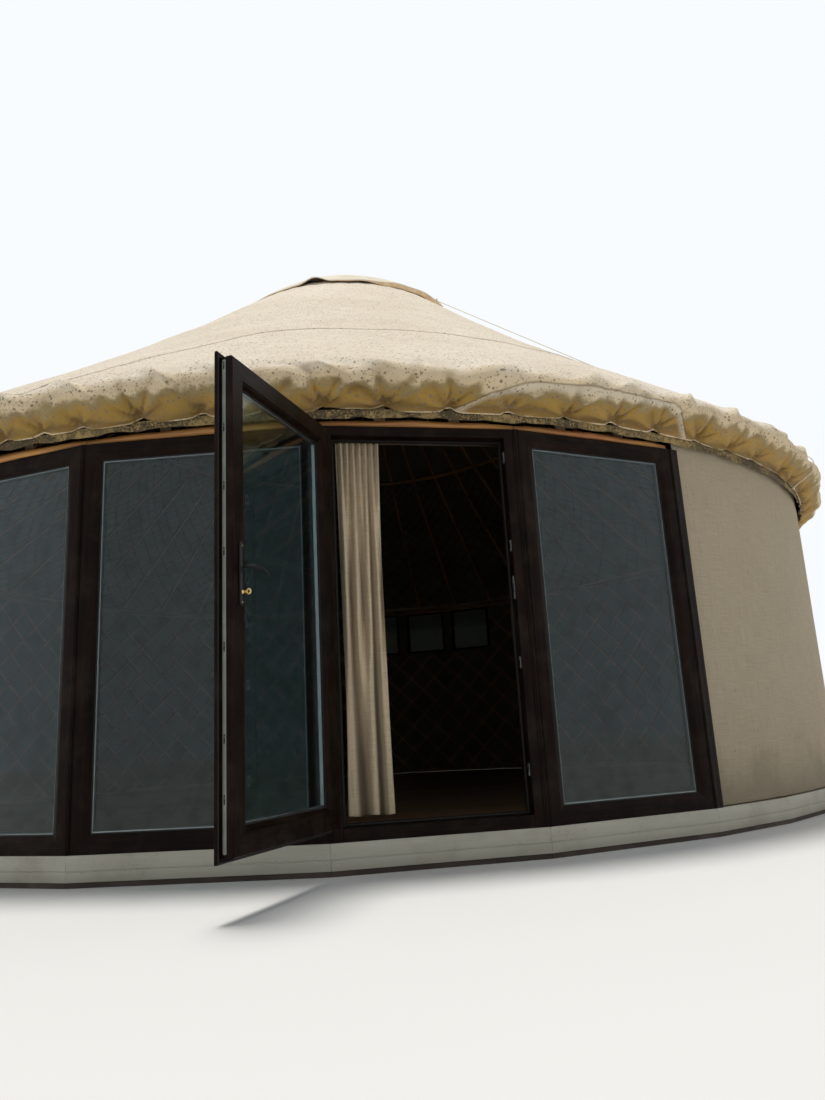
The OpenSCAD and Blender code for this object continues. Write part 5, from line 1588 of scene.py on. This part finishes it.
passivated, shader, uv, place = finish("passivated_steel", 0.5, 1.0)
dull = use(dirt, Vector=place, Speck=0.004, Amount=0.4)
coat(shader, mixed(dull["Blotches"], (0.17, 0.19, 0.165, 1), (0.24, 0.26, 0.23, 1)), dull["Blotches"], 0.0003)
strip_y0, strip_y1 = LEAF_OUT + 0.0085, LEAF_OUT + 0.0245
face = slab(rounded(strip_y1 - strip_y0, LEAF_T - LEAF_B - 0.025, 0.006), 0, 0.0021, 0.0005)
middle_z = (LEAF_T + LEAF_B) / 2
mid_y, strip_face = (strip_y0 + strip_y1) / 2, LEAF_R - 0.0003
parts, slots = [solid(on_leaf(edge_plate(LEAF_R - 0.0023, mid_y, middle_z, 1, face)))], []
leaf_along = np.array([np.cos(-DOOR_OPEN), np.sin(-DOOR_OPEN), 0])
leaf_out_way = np.array([-leaf_along[1], leaf_along[0], 0])
for z in np.arange(LEAF_B + 0.09, LEAF_T - 0.06, SCREW_STEP):
    head = on_leaf([strip_face, mid_y, z])
    parts.append(dome(head, leaf_out_way, UP, leaf_along, 0.0036, 0.0006, 10, 2))
slot_hole = slab(rounded(0.006, 0.034, 0.0029), 0, 0.0004, 0.0001)
for z in SLOT_Z:
    slots.append(solid(on_leaf(edge_plate(strip_face, mid_y, z, 1, slot_hole))))
    cam = on_leaf([strip_face + 0.0001, mid_y, z + 0.006])
    parts.append(dome(cam, leaf_out_way, UP, leaf_along, 0.0028, 0.0025, 10, 2))
piece("lock_faceplate", parts, passivated, "door_leaf", ["lock_strip"], sharp=30)
piece("lock_slots", slots, rubber, "door_leaf", sharp=30)

# Handles: black lacquered backplates with a brass lock cylinder and its key, and a cast lever on each
# face of the leaf, both on one spindle. The levers arch a little and thin towards their ends.
HANDLE_X, CYLINDER_Z = 0.384, 1.157
PLATE_W, PLATE_H, PLATE_T = 0.032, 0.25, 0.008
LEVER_LEN, LEVER_OFF = 0.125, 0.05
KEY_BOW_R = 0.0125

lacquer, shader, uv, place = finish("black_lacquer", 0.42, Coat_Weight=0.06, Specular_IOR_Level=0.2)
worn = noise(place, 45.0, 4.0)
coat(shader, mixed(eased(worn, 0.5, 0.8, 0.0, 0.5), (0.006, 0.0055, 0.0055, 1), (0.026, 0.022, 0.02, 1)),
     worn, 0.0003, eased(worn, 0.3, 0.8, 0.28, 0.45))
brass = drifting("lock_brass", 120.0, (0.55, 0.36, 0.12, 1), (0.78, 0.56, 0.24, 1), 0.3, 1.0)

plate_z = HANDLE_Z + 0.1 - PLATE_H / 2
outline_xz = rounded(PLATE_W, PLATE_H, 0.0145, 6)
parts, barrels = [], []
inner_way = on_leaf([0, 1.0, 0]) - on_leaf([0, 0, 0])
layers = [(1.0, 0), (1.0, PLATE_T - 0.003), (0.985, PLATE_T - 0.0012), (0.93, PLATE_T)]
for base, way in ((LEAF_IN + 0.0003, 1), (LEAF_OUT - LAP_T - 0.0003, -1)):
    stack = []
    for scale, rise in layers:
        ring = outline_xz * [1 - (1 - scale) * 3, scale]
        stack.append(np.column_stack([ring[:, 0] + HANDLE_X, np.full(len(ring), base + way * rise),
                                      ring[:, 1] + plate_z]))
    parts.append(solid(on_leaf(np.stack(stack))))
    rose = on_leaf([HANDLE_X, base + way * (PLATE_T - 0.0005), HANDLE_Z])
    parts.append(dome(rose, leaf_along, UP, way * inner_way, 0.0125, 0.006, 20, 3))
    for end in (-1, 1):
        screw = on_leaf([HANDLE_X, base + way * (PLATE_T - 0.0003), plate_z + end * (PLATE_H / 2 - 0.016)])
        barrels.append(dome(screw, leaf_along, UP, way * inner_way, 0.0035, 0.0012, 12, 2))
piece("backplates", parts, lacquer, "door_leaf", ["handle_plates"], sharp=35)
for face_y, way, rise in ((LEAF_IN + PLATE_T, 1, 0.006), (LEAF_OUT - LAP_T - PLATE_T, -1, 0.003)):
    plug = on_leaf([HANDLE_X, face_y, CYLINDER_Z])
    barrels.append(dome(plug, leaf_along, UP, way * inner_way, 0.0085, rise, 18, 3))
piece("lock_cylinder", barrels, brass, "door_leaf", sharp=50)
turn = turns(24)
wall = turns(8)
T, W = np.meshgrid(turn, wall, indexing="ij")
bow_r, bow_y = KEY_BOW_R * 0.68 + KEY_BOW_R * 0.32 * np.cos(W), LEAF_IN + PLATE_T + 0.012 + KEY_BOW_R
bow = np.stack([HANDLE_X + 0.0011 * np.sin(W), bow_y + bow_r * np.cos(T), CYLINDER_Z + bow_r * np.sin(T)],
               axis=-1)
shank = block(HANDLE_X - 0.001, HANDLE_X + 0.001, LEAF_IN + PLATE_T + 0.004, LEAF_IN + PLATE_T + 0.014,
              CYLINDER_Z - 0.004, CYLINDER_Z + 0.004, 0.0003)
bow_part = patch(on_leaf(np.concatenate([bow, bow[:1]])), ring=True)
piece("lock_key", [bow_part, solid(on_leaf(shank))], brass, "door_leaf", sharp=50)


def lever(face_y, way):
    """A lever as one swept form: a neck straight out of the plate, a round bend, and a grip that arches
    and thins towards its end. Its section is an ellipse, broad across the grip."""
    neck = np.linspace(0, LEVER_OFF - 0.016, 5)
    bend = np.linspace(0, np.pi / 2, 8)
    run = np.linspace(0.02, LEVER_LEN + 0.004, 16)
    arch = 0.004 * np.sin(np.pi * (run - 0.02) / (LEVER_LEN - 0.02)) - 0.026 * ((run - 0.02) / LEVER_LEN) ** 2
    x = np.r_[0 * neck, -0.016 * (1 - np.cos(bend[1:])), -run]
    y = np.r_[neck, LEVER_OFF - 0.016 + 0.016 * np.sin(bend[1:]), np.full(len(run), LEVER_OFF)]
    z = np.r_[0 * neck, 0 * bend[1:], arch]
    path = np.stack([HANDLE_X + x, face_y + way * y, HANDLE_Z + z], axis=1)
    side, rise = square_to(path)
    gone = np.linspace(0, 1, len(path))
    broad = np.interp(gone, [0, 0.3, 0.5, 0.9, 1], [0.0076, 0.0078, 0.0094, 0.0092, 0.0055])
    thin = np.interp(gone, [0, 0.3, 0.5, 0.9, 1], [0.0076, 0.0076, 0.007, 0.006, 0.0035])
    turn = turns(14)
    return carried(path, thin[:, None] * np.cos(turn), broad[:, None] * np.sin(turn), side, rise)


levers = solids_on(on_leaf, [lever(LEAF_IN, 1), lever(LEAF_OUT - LAP_T, -1)])
piece("lever_pair", levers, lacquer, "lever", ["handle_lever"], sharp=45)
refinish("leaf_hinges", enamel, 0.001)


# Studio: a pale floor and a soft sun from nearly overhead, over plain sky light. The background
# shows white to the camera, and to what glass and metal reflect.
FLOOR_TONE = (0.74, 0.74, 0.73, 1)
SUN_WAY = (np.radians(-6), 0.0, np.radians(30))
SUN_STRENGTH, SKY_STRENGTH = 2.7, 0.42

ground, shader, uv, place = finish("studio_floor", 0.9)
shade = noise(place, 0.4, 2.0)
coat(shader, mixed(shade, (0.71, 0.71, 0.7, 1), FLOOR_TONE))
floor_mesh = bpy.data.meshes.new("studio_ground")
floor_mesh.from_pydata([(-60, -60, 0), (60, -60, 0), (60, 60, 0), (-60, 60, 0)], [], [(0, 1, 2, 3)])
floor_mesh.materials.append(ground)
studio_floor = bpy.data.objects.new("studio_ground", floor_mesh)
bpy.context.scene.collection.objects.link(studio_floor)

lamp = bpy.data.lights.new("key", "SUN")
lamp.energy, lamp.angle, lamp.color = SUN_STRENGTH, np.radians(14), (1.0, 0.97, 0.92)
key = bpy.data.objects.new("key", lamp)
key.rotation_euler = SUN_WAY
bpy.context.scene.collection.objects.link(key)

world = bpy.data.worlds.new("studio")
bpy.context.scene.world = world
world.use_nodes = True
tree = world.node_tree
sky = tree.nodes["Background"]
sky.inputs["Color"].default_value = (0.94, 0.97, 1.0, 1)
rays = add(tree, "LightPath").outputs
seen = larger(rays["Is Camera Ray"], larger(rays["Is Glossy Ray"], rays["Is Transmission Ray"]))
tree.links.new(eased(seen, 0.0, 1.0, SKY_STRENGTH, 1.0), sky.inputs["Strength"])

bpy.context.scene.view_settings.view_transform = "Standard"
